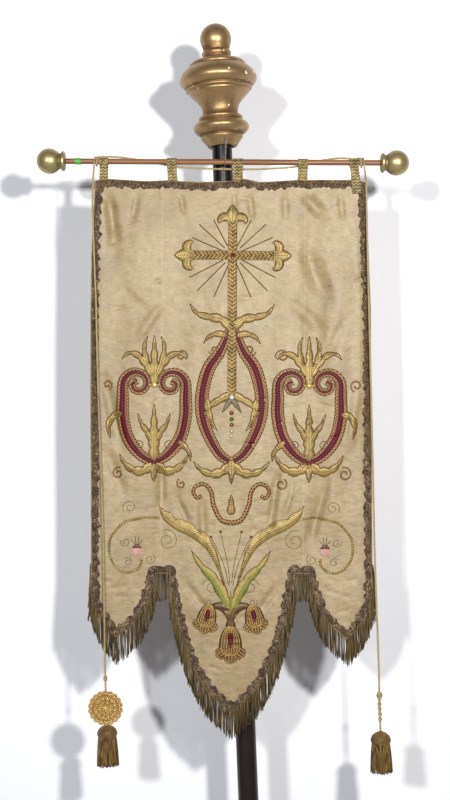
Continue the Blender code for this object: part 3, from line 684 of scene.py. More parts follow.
# %% Cord routes
PLY_RADIUS = 0.00132
PLY_OFFSET = 0.00118
PLY_PITCH = 0.0120
LEFT_ROUTE = ((-0.2950, -0.0454, 1.8083), (-0.2956, -0.0458, 1.7990), (-0.2975, -0.0471, 1.7790),
              (-0.3004, -0.0481, 1.7300), (-0.3010, -0.0477, 1.6850), (-0.3003, -0.0473, 1.6095),
              (-0.2991, -0.0473, 1.5023), (-0.2994, -0.0473, 1.3952), (-0.2990, -0.0473, 1.2649),
              (-0.2974, -0.0473, 1.1388), (-0.2971, -0.0473, 0.9918), (-0.2985, -0.0473, 0.8741),
              (-0.2999, -0.0473, 0.7565), (-0.3000, -0.0473, 0.7000), (-0.2993, -0.0473, 0.6255))
RIGHT_ROUTE = ((0.2702, -0.0454, 1.7907), (0.2708, -0.0459, 1.7810), (0.2728, -0.0473, 1.7600),
               (0.2735, -0.0481, 1.7330), (0.2729, -0.0477, 1.6281), (0.2727, -0.0473, 1.4500),
               (0.2725, -0.0473, 1.2920), (0.2721, -0.0473, 1.1239), (0.2713, -0.0473, 0.9769),
               (0.2724, -0.0473, 0.8593), (0.2736, -0.0473, 0.7416), (0.2734, -0.0473, 0.6848),
               (0.2736, -0.0473, 0.5964))
# across, depth and drop in the bar's frame
BACK_ROUTE = ((-0.2840, 0.0010, -0.0089), (-0.2832, 0.0065, -0.0100), (-0.2790, 0.0105, -0.0115),
              (-0.2660, 0.0115, -0.0120), (-0.2388, 0.0114, -0.0110), (-0.2000, 0.0112, -0.0060),
              (-0.1614, 0.0112, 0.0010), (-0.1170, 0.0112, 0.0085), (-0.0600, 0.0112, 0.0120),
              (-0.0020, 0.0112, 0.0130), (0.0600, 0.0112, 0.0122), (0.1240, 0.0112, 0.0080),
              (0.1510, 0.0112, 0.0020), (0.1850, 0.0112, -0.0062), (0.2228, 0.0112, -0.0115),
              (0.2540, 0.0112, -0.0105), (0.2620, 0.0105, -0.0110), (0.2668, 0.0065, -0.0100),
              (0.2675, 0.0010, -0.0089))
HITCH_RADIUS = 0.0089
HITCH_PITCH = 0.0056
HITCH_TURNS = 1.25


def plies(line, offset=PLY_OFFSET, pitch=PLY_PITCH):
    """Two threads that wind round the line."""
    ahead = np.gradient(line, axis=0)
    ahead /= np.linalg.norm(ahead, axis=1)[:, None]
    side = np.cross(ahead, (0.13, -1.0, 0.07))
    side /= np.linalg.norm(side, axis=1)[:, None]
    up = np.cross(side, ahead)
    along = np.r_[0, np.cumsum(np.linalg.norm(np.diff(line, axis=0), axis=1))]
    runs = []
    for start in (0, 0.5):
        angle = (tau * (along / pitch + start))[:, None]
        runs.append(line + offset * (np.cos(angle) * side + np.sin(angle) * up))
    return runs


def hitch_line(across, side):
    """A line that turns round the bar and moves along it towards one side."""
    share = np.linspace(0, 1, 40)
    angle = pi / 2 + tau * HITCH_TURNS * share
    slide = across + side * HITCH_PITCH * HITCH_TURNS * share
    return off_bar(np.column_stack([slide, HITCH_RADIUS * np.cos(angle), HITCH_RADIUS * np.sin(angle)]))


print("two plies", 2 * PLY_RADIUS, "m thick make each cord")

# %% Lay up the cords
ROUTES = {"left": smooth_run(LEFT_ROUTE, 0.0020), "right": smooth_run(RIGHT_ROUTE, 0.0020)}
slack = off_bar([(across, depth, -drop) for across, depth, drop in BACK_ROUTE])
ROUTES["back"] = smooth_run(slack, 0.0020)
for side, line in ROUTES.items():
    mesh = thread_mesh("cord_" + side, plies(line), PLY_RADIUS)
    piece("rope_" + side, mesh, OLIVE_CORD, ("cord_" + side,))
    print("cord", side, "is", round(run_length(line), 3), "m long")
for name, across, side in (("hitch_left", -0.2840, -1), ("hitch_right", 0.2675, 1)):
    mesh = thread_mesh(name, plies(hitch_line(across, side)), PLY_RADIUS)
    piece("rope_" + name, mesh, OLIVE_CORD, (name,))

# %% [markdown]
# ## The silk
# The ground is a cream silk with thick and thin yarns across it, which shows as fine level
# streaks with a soft watered shine. The sheet is one grid: its columns run down from the
# top edge to the lappets' edge, so its outline needs no cutting, and every row bends with
# the folds. Rows and columns are close enough for the creases round the embroidery.

# %% Silk finish
SEAMS = (-0.148, 0.152)
SEAM_WIDE = 0.0016


def silk_look():
    """Slubbed silk with a watered shine, clouds of grime, short brown dashes and two pale seams."""
    look, tree, shader = new_look("cream silk", 0.5)
    uv = uv_map(tree)
    slub = streaks(tree, uv, (90.0, 1000.0, 1.0), 3.0)
    water = streaks(tree, uv, (34.0, 130.0, 1.0), 2.0, 0.6)
    warp = streaks(tree, uv, (900.0, 40.0, 1.0), 2.0)
    mottle = noise(tree, uv, 60.0, 6.0)
    weave = calc(tree, "MULTIPLY_ADD", slub, 0.42, calc(tree, "MULTIPLY", water, 0.16))
    weave = calc(tree, "MULTIPLY_ADD", warp, 0.14, calc(tree, "MULTIPLY_ADD", mottle, 0.28, weave))
    colour = mixed(tree, spread(tree, weave, 0.34, 0.66), paint(119, 100, 67), paint(170, 152, 114))
    stains = ((noise(tree, uv, 7.0, 4.0), 0.44, 0.70, 0.55, paint(124, 104, 67)),
              (noise(tree, uv, 16.0, 5.0), 0.50, 0.72, 0.35, paint(117, 108, 83)),
              (streaks(tree, uv, (42.0, 330.0, 1.0), 1.0), 0.70, 0.78, 0.65, paint(92, 73, 44)))
    for mask, first, full, strength, stain in stains:
        colour = stained(tree, colour, spread(tree, mask, first, full), strength, stain)
    parts = node(tree, "ShaderNodeSeparateXYZ", {0: uv}).outputs
    for across in SEAMS:
        away = calc(tree, "ABSOLUTE", calc(tree, "SUBTRACT", parts[0], across))
        seam = spread(tree, away, SEAM_WIDE, SEAM_WIDE * 0.3)
        colour = stained(tree, colour, seam, 0.13, paint(204, 190, 154))
    put(tree, colour, shader, "Base Color")
    put(tree, calc(tree, "MULTIPLY_ADD", water, 0.22, 0.38), shader, "Roughness")
    shader.inputs["Sheen Weight"].default_value = 0.25
    shader.inputs["Sheen Roughness"].default_value = 0.4
    shader.inputs["Sheen Tint"].default_value = paint(250, 236, 205)
    pucker = streaks(tree, uv, (62.0, 96.0, 1.0), 2.0)
    bump(tree, shader, calc(tree, "MULTIPLY_ADD", slub, 0.25, pucker), 0.65, 0.0020)
    return look


SILK = silk_look()
print("silk finish with", len(SILK.node_tree.nodes), "nodes")

# %% Silk sheet
CELL_ACROSS = 0.0042
SILK_ROWS = 250
SILK_THICK = 0.0012
corner_places = [HEM[0, 0]]
for place in HEM[1:, 0]:
    count = max(1, int(np.ceil((place - corner_places[-1]) / CELL_ACROSS)))
    corner_places.extend(np.linspace(corner_places[-1], place, count + 1)[1:])
places = np.array(corner_places)
shares = (places - HEM[0, 0]) / (HEM[-1, 0] - HEM[0, 0])
feet = np.interp(places, HEM[:, 0], HEM[:, 1])
top_left, top_right = SIDE_EDGES[0][1:]
tops = between(TOP_EDGE, top_left + shares * (top_right - top_left))
down = np.linspace(1, 0, SILK_ROWS)[:, None]
drops = tops + (feet - tops) * down
left_edge = between(SIDE_EDGES, drops, 1)
right_edge = between(SIDE_EDGES, drops, 2)
acrosses = left_edge + shares * (right_edge - left_edge)
silk_patch = Patches()
silk_patch.add(on_cloth(acrosses, drops), acrosses, drops)
silk = piece("silk_ground", silk_patch.mesh("silk_ground"), SILK, ("panel",), SILK_THICK)
cell_areas = np.diff(acrosses[:-1], axis=1) * -np.diff(drops, axis=0)[:, 1:]
print("silk area", round(float(cell_areas.sum()), 4), "square metres before its folds")

# %% [markdown]
# ## The metal lace
# The edges are bound with a tarnished metal lace. It is made of flat and round metal
# threads that cross over a dark silk core, with a scalloped inner edge and a firm cord
# along its outer edge. Here a dark ribbon carries four waving threads that cross, and a
# row of small loops at the inner edge, so that the net stands up as it does in the lace.

# %% Lace ribbon and its threads
LACE_WIDE = 0.0180
LACE_LIFT = 0.0006
LACE_THICK = 0.0005
LACE_STEP = 0.0016
LACE_THREAD = 0.00068
EDGE_CORD_RADIUS = 0.0013
LACE_BEAT = 0.0125
lace_draw = random.Random(5)


def lace_runs(outer, inner, wide_here):
    """Threads of the lace between two lines that run side by side."""
    along = np.r_[0, np.cumsum(np.linalg.norm(np.diff(outer, axis=0), axis=1))]

    def thread(share, lift):
        place = outer + (inner - outer) * np.asarray(share)[:, None]
        return on_cloth(place[:, 0], place[:, 1], lift)

    beat = tau * along / LACE_BEAT
    waves = [thread(wide_here * (0.50 + 0.36 * np.sin(beat)), 0.0015 + 0.0004 * np.cos(beat)),
             thread(wide_here * (0.50 - 0.36 * np.sin(beat)), 0.0015 - 0.0004 * np.cos(beat)),
             thread(wide_here * (0.30 + 0.16 * np.sin(2 * beat + 1.0)), 0.0017),
             thread(wide_here * (0.72 + 0.18 * np.sin(2 * beat)), 0.0013)]
    edge = thread(wide_here * (0.93 + 0.07 * np.cos(4 * beat)), 0.0012 + 0.0005 * np.sin(4 * beat))
    cord = thread(np.full(len(beat), 0.03), 0.0014)
    return waves + [edge], cord


def lace_lines(outer, inward):
    """The outer line, the inner line a lace's width away, and how full the lace is there."""
    outer = even_steps(outer, LACE_STEP)
    soft = np.array([np.convolve(np.pad(column, 3, mode="edge"), np.ones(7) / 7, "valid")
                     for column in side_way(outer).T]).T
    soft /= np.linalg.norm(soft, axis=1)[:, None]
    inner = outer + inward * LACE_WIDE * soft
    along = np.arange(len(outer)) * LACE_STEP
    start = lace_draw.uniform(0, 10)
    wander = np.interp(along, along[::4], [lace_draw.uniform(-0.15, 0.13) for _ in along[::4]])
    full = (0.90 + 0.10 * np.sin(tau * along / 0.0245 + start)
            + 0.05 * np.sin(tau * along / 0.011 + 2 * start)
            + 0.04 * np.sin(tau * along / 0.071 + start) + wander)
    return outer, inner, full


def lace_look():
    """A dark net with painted glints in patches on its threads."""
    look, tree, shader = new_look("lace ground", 0.5, 0.15)
    uv = uv_map(tree)
    where = own_place(tree)
    net = diamonds(tree, uv, tau / 2600)
    age = effect(tree, AGE, {"Vector": where, "Size": 0.014, "Share": 0.5})
    patch = noise(tree, where, 95.0, 3.0)
    glint = noise(tree, where, 300.0, 2.0)
    # painted highlights: glint and patch noise lighten the net towards a pale metal colour
    shine = calc(tree, "MULTIPLY", spread(tree, glint, 0.44, 0.60), calc(tree, "MULTIPLY_ADD", net, 0.5, 0.5))
    shine = calc(tree, "MULTIPLY", shine, spread(tree, patch, 0.38, 0.60))
    colour = mixed(tree, shine, paint(52, 35, 22), paint(208, 180, 140))
    put(tree, stained(tree, colour, age, 0.8, paint(46, 32, 21)), shader, "Base Color")
    bump(tree, shader, net, 0.9, 0.0006)
    return look


LACE_GROUND = lace_look()
top_line = np.array(TOP_EDGE)
drops_down = np.linspace(TOP_EDGE[0][1] + 0.004, SIDE_EDGES[-1][0], 60)
left_line = np.column_stack([between(SIDE_EDGES, drops_down, 1), drops_down])
right_line = np.column_stack([between(SIDE_EDGES, drops_down, 2), drops_down])
LACES = (("top", top_line, -1), ("left", left_line, 1), ("right", right_line, -1), ("hem", HEM, 1))
EDGE_CORDS = []
for name, line, inward in LACES:
    outer, inner, full = lace_lines(line, inward)
    columns = np.linspace(0.0, 1.0, 7)
    points = outer[::2, None] + (inner - outer)[::2, None] * (columns * full[::2, None])[..., None]
    rise = np.array([[lace_draw.uniform(-0.0004, 0.0013) for _ in columns] for _ in full[::2]])
    crown = LACE_LIFT + 0.0005 * np.sin(pi * columns)[None, :] + rise
    ground = Patches()
    along = np.broadcast_to((np.arange(len(outer))[::2] * LACE_STEP)[:, None], crown.shape)
    wide = np.broadcast_to((columns * LACE_WIDE)[None, :], crown.shape)
    ground.add(on_cloth(points[..., 0], points[..., 1], crown), along, wide)
    piece("lace_ground_" + name, ground.mesh("lace_ground_" + name), LACE_GROUND,
          ("galloon_" + name,), LACE_THICK)
    threads, cord = lace_runs(outer, inner, full)
    mesh = thread_mesh("lace_threads_" + name, threads, LACE_THREAD, 0)
    piece("lace_threads_" + name, mesh, TARNISHED)
    EDGE_CORDS.append(cord)
EDGE_CORD = thread_look("edge cord", paint(184, 158, 106), paint(70, 54, 30), 0.0038, 2, 0.3)
piece("lace_cord", thread_mesh("lace_cord", EDGE_CORDS, EDGE_CORD_RADIUS, 1), EDGE_CORD)

# %% [markdown]
# ## The bullion fringe
# The fringe is bullion: each strand is a stiff thread bent double and twisted on itself. The
# strands hang plumb from the whole lower edge, crowd together into small locks, and no two
# are quite as long. They are made one by one, spaced along the edge, in three layers.

# %% Fringe strands
FRINGE_LONG = 0.0620
STRAND_RADIUS = 0.00094
STRAND_SPACING = 0.00125
STRAND_TAPER = (0.9, 1, 1, 1, 1, 1.1, 0.75)
STRAND_POINTS = 11
SEWN_IN = 0.006
LAYERS = 3
LAYER_STEP = 0.0013
LOCK_SPACING = (0.0065, 0.0125)
LOCK_PULL = 0.18
STRAY_SHARE = 0.05
SIDE_RUN_ACROSS = 0.28
SIDE_RUN_DROP = 0.9165
fringe_draw = random.Random(3)
edge_places = even_steps(HEM, STRAND_SPACING)
lock_at = edge_places[0, 0] - 0.004
lock_places = []
while lock_at < edge_places[-1, 0] + 0.01:
    lock_places.append(lock_at)
    lock_at += fringe_draw.uniform(*LOCK_SPACING)
lock_places = np.array(lock_places)


def strand(across, drop, long, tip_shift, lift, bow):
    """One hanging strand: it leaves the edge, bows a little and ends at its tip."""
    share = np.linspace(0, 1, STRAND_POINTS)
    x = across + tip_shift * share ** 1.4 + bow * np.sin(pi * share)
    line = on_cloth(x, drop, lift + 0.0010 * np.sin(pi * share))
    line[:, 2] -= long * share
    line[:, 0] -= 0.0006 * share
    return line


strands = []
for index, (x, d) in enumerate(edge_places):
    near = lock_places[np.argmin(np.abs(lock_places - x))]
    tip = LOCK_PULL * (near - x) + fringe_draw.gauss(0, 0.0014)
    if d < SIDE_RUN_DROP and abs(x) > SIDE_RUN_ACROSS:
        outward = 1 if x > 0 else -1
        tip += outward * fringe_draw.uniform(0.0005, 0.0075)
        x += outward * fringe_draw.uniform(-0.001, 0.0030)
    long = FRINGE_LONG - fringe_draw.uniform(0.0, 0.0075) - 0.0040 * min(1.0, abs(near - x) / 0.006)
    if fringe_draw.random() < STRAY_SHARE:
        long -= fringe_draw.uniform(0.004, 0.018)
    lift = -0.0010 + LAYER_STEP * (index % LAYERS) + fringe_draw.uniform(0, 0.0005)
    bow = fringe_draw.gauss(0, 0.0011)
    strands.append(strand(x, d - SEWN_IN, long + SEWN_IN, tip, lift, bow))
mesh = thread_mesh("fringe_strands", strands, STRAND_RADIUS, 0, STRAND_TAPER)
piece("fringe_strands", mesh, BULLION, ("fringe",))
print(len(strands), "strands")

# %% [markdown]
# ## The hanging tabs
# Five loops of woven gold braid hold the cloth on the bar. A loop goes down behind, round
# the bar and down in front, and its two ends lie together. The braid is woven in chevrons,
# which are drawn from the lengths in its UV map.

# %% Braid finish
def braid_look(name, light, dark, chevron_wide, step):
    """Woven chevrons, each so wide and a step apart, with fine threads along the braid."""
    look, tree, shader = new_look(name, 0.45, 0.4)
    uv = uv_map(tree)
    where = own_place(tree)
    parts = node(tree, "ShaderNodeSeparateXYZ", {0: uv}).outputs
    zig = calc(tree, "PINGPONG", parts[1], chevron_wide)
    line = calc(tree, "DIVIDE", calc(tree, "MULTIPLY_ADD", zig, 0.9, parts[0]), step)
    chevron = calc(tree, "MULTIPLY_ADD", calc(tree, "SINE", calc(tree, "MULTIPLY", line, tau)), 0.5, 0.5)
    fine = calc(tree, "MULTIPLY_ADD", calc(tree, "SINE", calc(tree, "MULTIPLY", parts[1], 7000.0)), 0.5, 0.5)
    weave = calc(tree, "MULTIPLY_ADD", fine, 0.35, calc(tree, "MULTIPLY", chevron, 0.65))
    age = effect(tree, AGE, {"Vector": where, "Size": 0.010, "Share": 0.45})
    shown = calc(tree, "SUBTRACT", weave, calc(tree, "MULTIPLY", age, 0.45))
    put(tree, mixed(tree, spread(tree, shown, 0.0, 0.85), dark, light), shader, "Base Color")
    bump(tree, shader, weave, 0.9, 0.0006)
    return look


BRAID = braid_look("gold braid", paint(186, 166, 108), paint(54, 40, 20), 0.0042, 0.0066)
print(BRAID.name, "finish ready")

# %% Tabs
TAB_THICK = 0.0015
TAB_GAP = 0.0004
TAB_CLOSE = 0.016
TAB_STEP = 0.0030
CLOTH_THICK = 0.0020
TOP_LACE_THICK = 0.0014
BACK_TAIL = CLOTH_FRONT + CLOTH_THICK + TAB_GAP + TAB_THICK + TAB_GAP / 2
FRONT_TAIL = CLOTH_FRONT - TAB_GAP - TOP_LACE_THICK - TAB_GAP - TAB_THICK - TAB_GAP / 2
# across, drift, width, tail depth, foot
TABS = ((-0.2717, 0.0, 0.0185, BACK_TAIL, 0.056), (-0.1290, 0.0040, 0.0210, BACK_TAIL, 0.056),
        (0.0108, 0.0, 0.0210, BACK_TAIL, 0.054), (0.1475, -0.0020, 0.0210, BACK_TAIL, 0.055),
        (0.2545, 0.0065, 0.0190, FRONT_TAIL, 0.066))


def tangent(point, radius, side):
    """The angle at which a line from the point touches the round bar."""
    return atan2(point[1], point[0]) + side * acos(radius / hypot(*point))


def tab_path(tail, foot):
    """The loop from the side, as (depth, height): up in front, round the bar and down behind."""
    radius = BAR_RADIUS + TAB_GAP + TAB_THICK / 2
    apart = TAB_THICK / 2 + TAB_GAP / 2
    front = (tail - apart, -TAB_CLOSE)
    back = (tail + apart, -TAB_CLOSE)
    start = tangent(front, radius, -1)
    end = tangent(back, radius, 1) - tau
    angles = np.linspace(start, end, 25)
    turn = np.column_stack([radius * np.cos(angles), radius * np.sin(angles)])
    front_run = [(tail - apart, -foot), front]
    back_run = [back, (tail + apart, -foot)]
    return even_steps(np.vstack([front_run, turn, back_run]), TAB_STEP)


for index, (across, drift, width, tail, foot) in enumerate(TABS):
    path = tab_path(tail, foot)
    columns = np.linspace(-0.5, 0.5, 9)
    slide = drift * np.clip(-path[:, 1] - BAR_RADIUS, 0, None) / (foot - BAR_RADIUS)
    narrow = 1 - 0.05 * swell(path[:, 1] + 0.020, 0.016)
    x = across + slide[:, None] + width * narrow[:, None] * columns
    depth = path[:, :1] + 0.0004 * np.sin(9 * columns + index)[None, :] * ramp(-path[:, 1:], 0.008, 0.03)
    high = np.broadcast_to(path[:, 1:], x.shape)
    band = Patches()
    along = np.broadcast_to((np.arange(len(path)) * TAB_STEP)[:, None], x.shape)
    sideways = np.broadcast_to(width * (columns + 0.5), x.shape)
    band.add(off_bar(np.stack([x, depth, high], axis=-1)), along, sideways)
    loop = piece(f"tab_loop_{index + 1}", band.mesh("tab_loop"), BRAID, (f"tab_{index + 1}",))
    doubled = loop.modifiers.new("thickness", "SOLIDIFY")
    doubled.thickness = TAB_THICK
    doubled.offset = 0.0

# %% [markdown]
# ## The turned wood: ball ends and finial
# The finial and the two ball ends were turned on a lathe, coated with gesso and gilded. A
# spin about the axis is the lathe's own way to make them. Every vertex carries how deep in a
# hollow it lies, and the finish is painted brown there as shade, broken up by clouds of
# grime. A few chips show the white gesso.

# %% Turning on the lathe
HOLLOW_DEEP = 0.0036
CHIP_EDGE = 0.012


def turned(name, profile, sides, place, look, replaced):
    """Spin a profile of (height, radius) about its axis, closed at both ends."""
    profile = np.asarray(profile, float)
    around = np.convolve(np.pad(profile[:, 1], 8, mode="edge"), np.ones(17) / 17, "valid")
    # how deep each point lies in a hollow: the gilding paints shade there
    hollow = np.clip(0.5 - (profile[:, 1] - around) / HOLLOW_DEEP, 0, 1)
    bm = bmesh.new()
    deep = bm.verts.layers.float.new("hollow")
    rim = [bm.verts.new((radius, 0, height)) for height, radius in profile]
    for vert, value in zip(rim, hollow):
        vert[deep] = value
    edges = [bm.edges.new(pair) for pair in zip(rim, rim[1:])]
    bmesh.ops.spin(bm, geom=rim + edges, cent=(0, 0, 0), axis=(0, 0, 1), angle=tau, steps=sides,
                   use_merge=True)
    open_edges = [edge for edge in bm.edges if edge.is_boundary]
    bmesh.ops.holes_fill(bm, edges=open_edges, sides=sides)
    bmesh.ops.recalc_face_normals(bm, faces=list(bm.faces))
    bmesh.ops.transform(bm, matrix=place, verts=list(bm.verts))
    return piece(name, finished_mesh(name, bm), look, (replaced,))


def gilt_look(name, leaf, shade_and_grime_brown, bright, chips):
    """Gold leaf with painted brown shade in its hollows, and chips to the white ground where fine noise tops
    a level.
    """
    look, tree, shader = new_look(name, 0.38, 0.72)
    where = own_place(tree)
    hollow = node(tree, "ShaderNodeAttribute", attribute_name="hollow").outputs["Fac"]
    age = effect(tree, AGE, {"Vector": where, "Size": 0.022, "Share": 0.4})
    fine = noise(tree, where, 190.0, 3.0)
    colour = mixed(tree, spread(tree, fine, 0.28, 0.80), leaf, bright)
    # painted shade: the hollows turn brown, made stronger where the age clouds are high
    hollow_shade_and_grime = calc(tree, "MULTIPLY", spread(tree, hollow, 0.52, 0.95), calc(tree, "MULTIPLY_ADD", age, 0.4, 0.5))
    hollow_shade_and_grime = calc(tree, "MINIMUM", hollow_shade_and_grime, 1.0)
    colour = mixed(tree, hollow_shade_and_grime, colour, shade_and_grime_brown)
    colour = stained(tree, colour, age, 0.16, shade_and_grime_brown)
    speck = noise(tree, where, 62.0, 2.0)
    chip = calc(tree, "MULTIPLY", spread(tree, speck, chips, chips + CHIP_EDGE), 0.9)
    put(tree, mixed(tree, chip, colour, paint(232, 222, 200)), shader, "Base Color")
    put(tree, calc(tree, "MULTIPLY", calc(tree, "SUBTRACT", 1.0, chip), 0.72), shader, "Metallic")
    put(tree, calc(tree, "MULTIPLY_ADD", hollow_shade_and_grime, 0.20, 0.40), shader, "Roughness")
    bump(tree, shader, fine, 0.25, 0.0005)
    return look


# the third colour is the painted brown shade of the hollows, also used for grime
FINIAL_GILT = gilt_look("finial gilding", paint(150, 122, 82), paint(104, 70, 42), paint(172, 144, 102), 0.70)
BALL_GILT = gilt_look("ball gilding", paint(158, 142, 96), paint(100, 80, 46), paint(178, 164, 120), 0.80)
print("lathe and two gildings ready")

# %% [markdown]
# ### Ball ends
# Each end of the bar carries a ball behind a low collar with one rounded bead. Ball and
# collar are one turning, so one profile holds both: a smooth line through the collar's
# points, and then an arc that starts where the collar's edge meets the ball.

# %% Ball ends
BALL_RADIUS = 0.0265
COLLAR_RADIUS = 0.0205
COLLAR_LONG = 0.0130
COLLAR_END = COLLAR_RADIUS * 0.82
BAR_ENDS = (("left", -0.3526 - TAB_GAP, -pi / 2), ("right", 0.3104 + TAB_GAP, pi / 2))
collar = [(0.0, COLLAR_RADIUS * 0.80), (0.0014, COLLAR_RADIUS * 0.95), (0.0030, COLLAR_RADIUS),
          (0.0050, COLLAR_RADIUS * 1.015), (0.0070, COLLAR_RADIUS), (0.0085, COLLAR_RADIUS * 0.86),
          (0.0105, COLLAR_RADIUS * 0.80), (COLLAR_LONG, COLLAR_END)]
centre = COLLAR_LONG + sqrt(BALL_RADIUS ** 2 - COLLAR_END ** 2)
first = atan2(COLLAR_END, COLLAR_LONG - centre)
angles = np.linspace(first, 0.02, 34)[1:]
ball = np.column_stack([centre + BALL_RADIUS * np.cos(angles), BALL_RADIUS * np.sin(angles)])
ball_profile = np.vstack([smooth_run(collar, 0.0008), ball])
for side, across, turn in BAR_ENDS:
    place = HANG @ Matrix.Translation((across, 0, 0)) @ Matrix.Rotation(turn, 4, "Y")
    turned("ball_end_" + side, ball_profile, 48, place, BALL_GILT, "ball_" + side)

# %% [markdown]
# ### Finial
# The finial stacks a foot, a first bulb, a neck, a wide shoulder with three beads and a
# small ball. The heights and radii below are its silhouette from the foot up. The whole
# turning leans a little on the pole, and is hollow at its foot where the pole goes in.

# %% Finial
FINIAL_FOOT = (-0.0250, 0.0, 1.8400)
FINIAL_LEAN = radians(-2.2)
FINIAL_PROFILE = ((0.0, 0.0305), (0.0050, 0.0345), (0.0110, 0.0388), (0.0160, 0.0428), (0.0195, 0.0450),
                  (0.0222, 0.0440), (0.0240, 0.0425), (0.0266, 0.0480), (0.0315, 0.0550), (0.0386, 0.0592),
                  (0.0460, 0.0575), (0.0512, 0.0518), (0.0542, 0.0455), (0.0566, 0.0440), (0.0596, 0.0468),
                  (0.0636, 0.0462), (0.0662, 0.0405), (0.0720, 0.0380), (0.0800, 0.0386), (0.0900, 0.0424),
                  (0.1000, 0.0500), (0.1090, 0.0588), (0.1150, 0.0640), (0.1176, 0.0644), (0.1206, 0.0700),
                  (0.1234, 0.0708), (0.1256, 0.0690), (0.1300, 0.0752), (0.1386, 0.0816), (0.1480, 0.0814),
                  (0.1566, 0.0770), (0.1640, 0.0702), (0.1690, 0.0640), (0.1712, 0.0596), (0.1738, 0.0606),
                  (0.1770, 0.0588), (0.1805, 0.0548), (0.1838, 0.0465), (0.1866, 0.0360), (0.1890, 0.0296),
                  (0.1912, 0.0284), (0.1950, 0.0302), (0.1986, 0.0318), (0.2020, 0.0308), (0.2046, 0.0284),
                  (0.2070, 0.0280), (0.2110, 0.0290))
FINIAL_BALL = 0.0334
FINIAL_BALL_HIGH = 0.2298
SOCKET = ((0.0180, 0.0235), (0.0000, 0.0235))
neck_high, neck_radius = FINIAL_PROFILE[-1]
body = smooth_run(FINIAL_PROFILE, 0.0014)
joint = atan2(neck_radius, neck_high - FINIAL_BALL_HIGH)
angles = np.linspace(joint, 0.02, 26)[1:]
top = np.column_stack([FINIAL_BALL_HIGH + FINIAL_BALL * np.cos(angles), FINIAL_BALL * np.sin(angles)])
lean = Matrix.Translation(FINIAL_FOOT) @ Matrix.Rotation(FINIAL_LEAN, 4, "Y")
turned("gilt_finial", np.vstack([SOCKET, body, top]), 72, lean, FINIAL_GILT, "finial")
print("finial", round(FINIAL_BALL_HIGH + FINIAL_BALL, 3), "m tall")

# %% [markdown]
# ## Bar, pole, foot, wire and tape
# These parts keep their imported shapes, which are right as they are: straight, round and
# plain. They only need finishes: pine with its grain along the bar, glossy dark paint with
# brown rubbed edges on the pole, rough black iron for the foot, bright wire and green tape.

# %% Finishes of the plain parts
def finish_node(name, look):
    """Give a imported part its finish."""
    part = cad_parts[name]
    for slot in part.material_slots:
        slot.material = look
    print(name, "finished in", look.name)


def wood_look():
    """Varnished pine, its grain along the bar."""
    look, tree, shader = new_look("pine bar", 0.42)
    where = own_place(tree)
    grain = node(tree, "ShaderNodeMapping", {0: where, "Rotation": (0, -BAR_TILT, 0), "Scale": (5, 260, 260)})
    lines = noise(tree, grain.outputs[0], 1.0, 4.0)
    colour = mixed(tree, spread(tree, lines, 0.35, 0.68), paint(100, 60, 28), paint(142, 95, 52))
    age = effect(tree, AGE, {"Vector": where, "Size": 0.03, "Share": 0.35})
    put(tree, stained(tree, colour, age, 0.5, paint(96, 58, 34)), shader, "Base Color")
    shader.inputs["Coat Weight"].default_value = 0.25
    bump(tree, shader, lines, 0.4, 0.0003)
    return look


def paint_look():
    """Dark glossy paint with brown rubs down the pole, darker towards its top."""
    look, tree, shader = new_look("dark pole paint", 0.4)
    where = own_place(tree)
    lines = streaks(tree, where, (180, 180, 4), 3.0)
    age = effect(tree, AGE, {"Vector": where, "Size": 0.07, "Share": 0.4})
    high = node(tree, "ShaderNodeSeparateXYZ", {0: where}).outputs[2]
    colour = mixed(tree, spread(tree, high, 1.2, 1.7), paint(27, 16, 12), paint(12, 9, 8))
    colour = stained(tree, colour, spread(tree, lines, 0.4, 0.7), 0.4, paint(48, 30, 23))
    put(tree, stained(tree, colour, age, 0.4, paint(26, 18, 15)), shader, "Base Color")
    put(tree, calc(tree, "MULTIPLY_ADD", age, 0.2, 0.32), shader, "Roughness")
    shader.inputs["Specular IOR Level"].default_value = 0.22
    shader.inputs["Coat Weight"].default_value = 0.15
    shader.inputs["Coat Roughness"].default_value = 0.2
    bump(tree, shader, lines, 0.25, 0.0004)
    return look


def iron_look():
    """Rough cast iron, black with a little brown."""
    look, tree, shader = new_look("black iron", 0.5, 0.6)
    where = own_place(tree)
    cast = noise(tree, where, 300.0, 4.0)
    age = effect(tree, AGE, {"Vector": where, "Size": 0.05, "Share": 0.4})
    put(tree, mixed(tree, age, paint(40, 38, 37), paint(66, 54, 46)), shader, "Base Color")
    put(tree, calc(tree, "MULTIPLY_ADD", cast, 0.3, 0.35), shader, "Roughness")
    bump(tree, shader, cast, 0.5, 0.0008)
    return look


def plain_look(name, first, second, roughness, metallic):
    """One colour that turns towards a second where it has aged."""
    look, tree, shader = new_look(name, roughness, metallic)
    where = own_place(tree)
    age = effect(tree, AGE, {"Vector": where, "Size": 0.006, "Share": 0.4})
    put(tree, mixed(tree, age, first, second), shader, "Base Color")
    bump(tree, shader, age, 0.3, 0.0002)
    return look


finish_node("crossbar", wood_look())
finish_node("pole", paint_look())
finish_node("foot", iron_look())
finish_node("hanger_wire", plain_look("bright wire", paint(196, 196, 190), paint(120, 118, 112), 0.3, 1.0))
finish_node("marking_tape", plain_look("green tape", paint(70, 158, 56), paint(54, 128, 44), 0.35, 0.0))

# %% [markdown]
# ## Rosette, knot and tassels
# The left cord ends in an openwork disc of gold thread above a small tassel, the right one
# in a knot and a larger tassel. A tassel is a wooden mould covered with a net of thread,
# and a skirt of bullion strands bound in under it.

# %% Openwork rosette
ROSETTE_AT = (-0.3008, -0.0520, 0.6622)
RING = np.linspace(0, tau, 720)
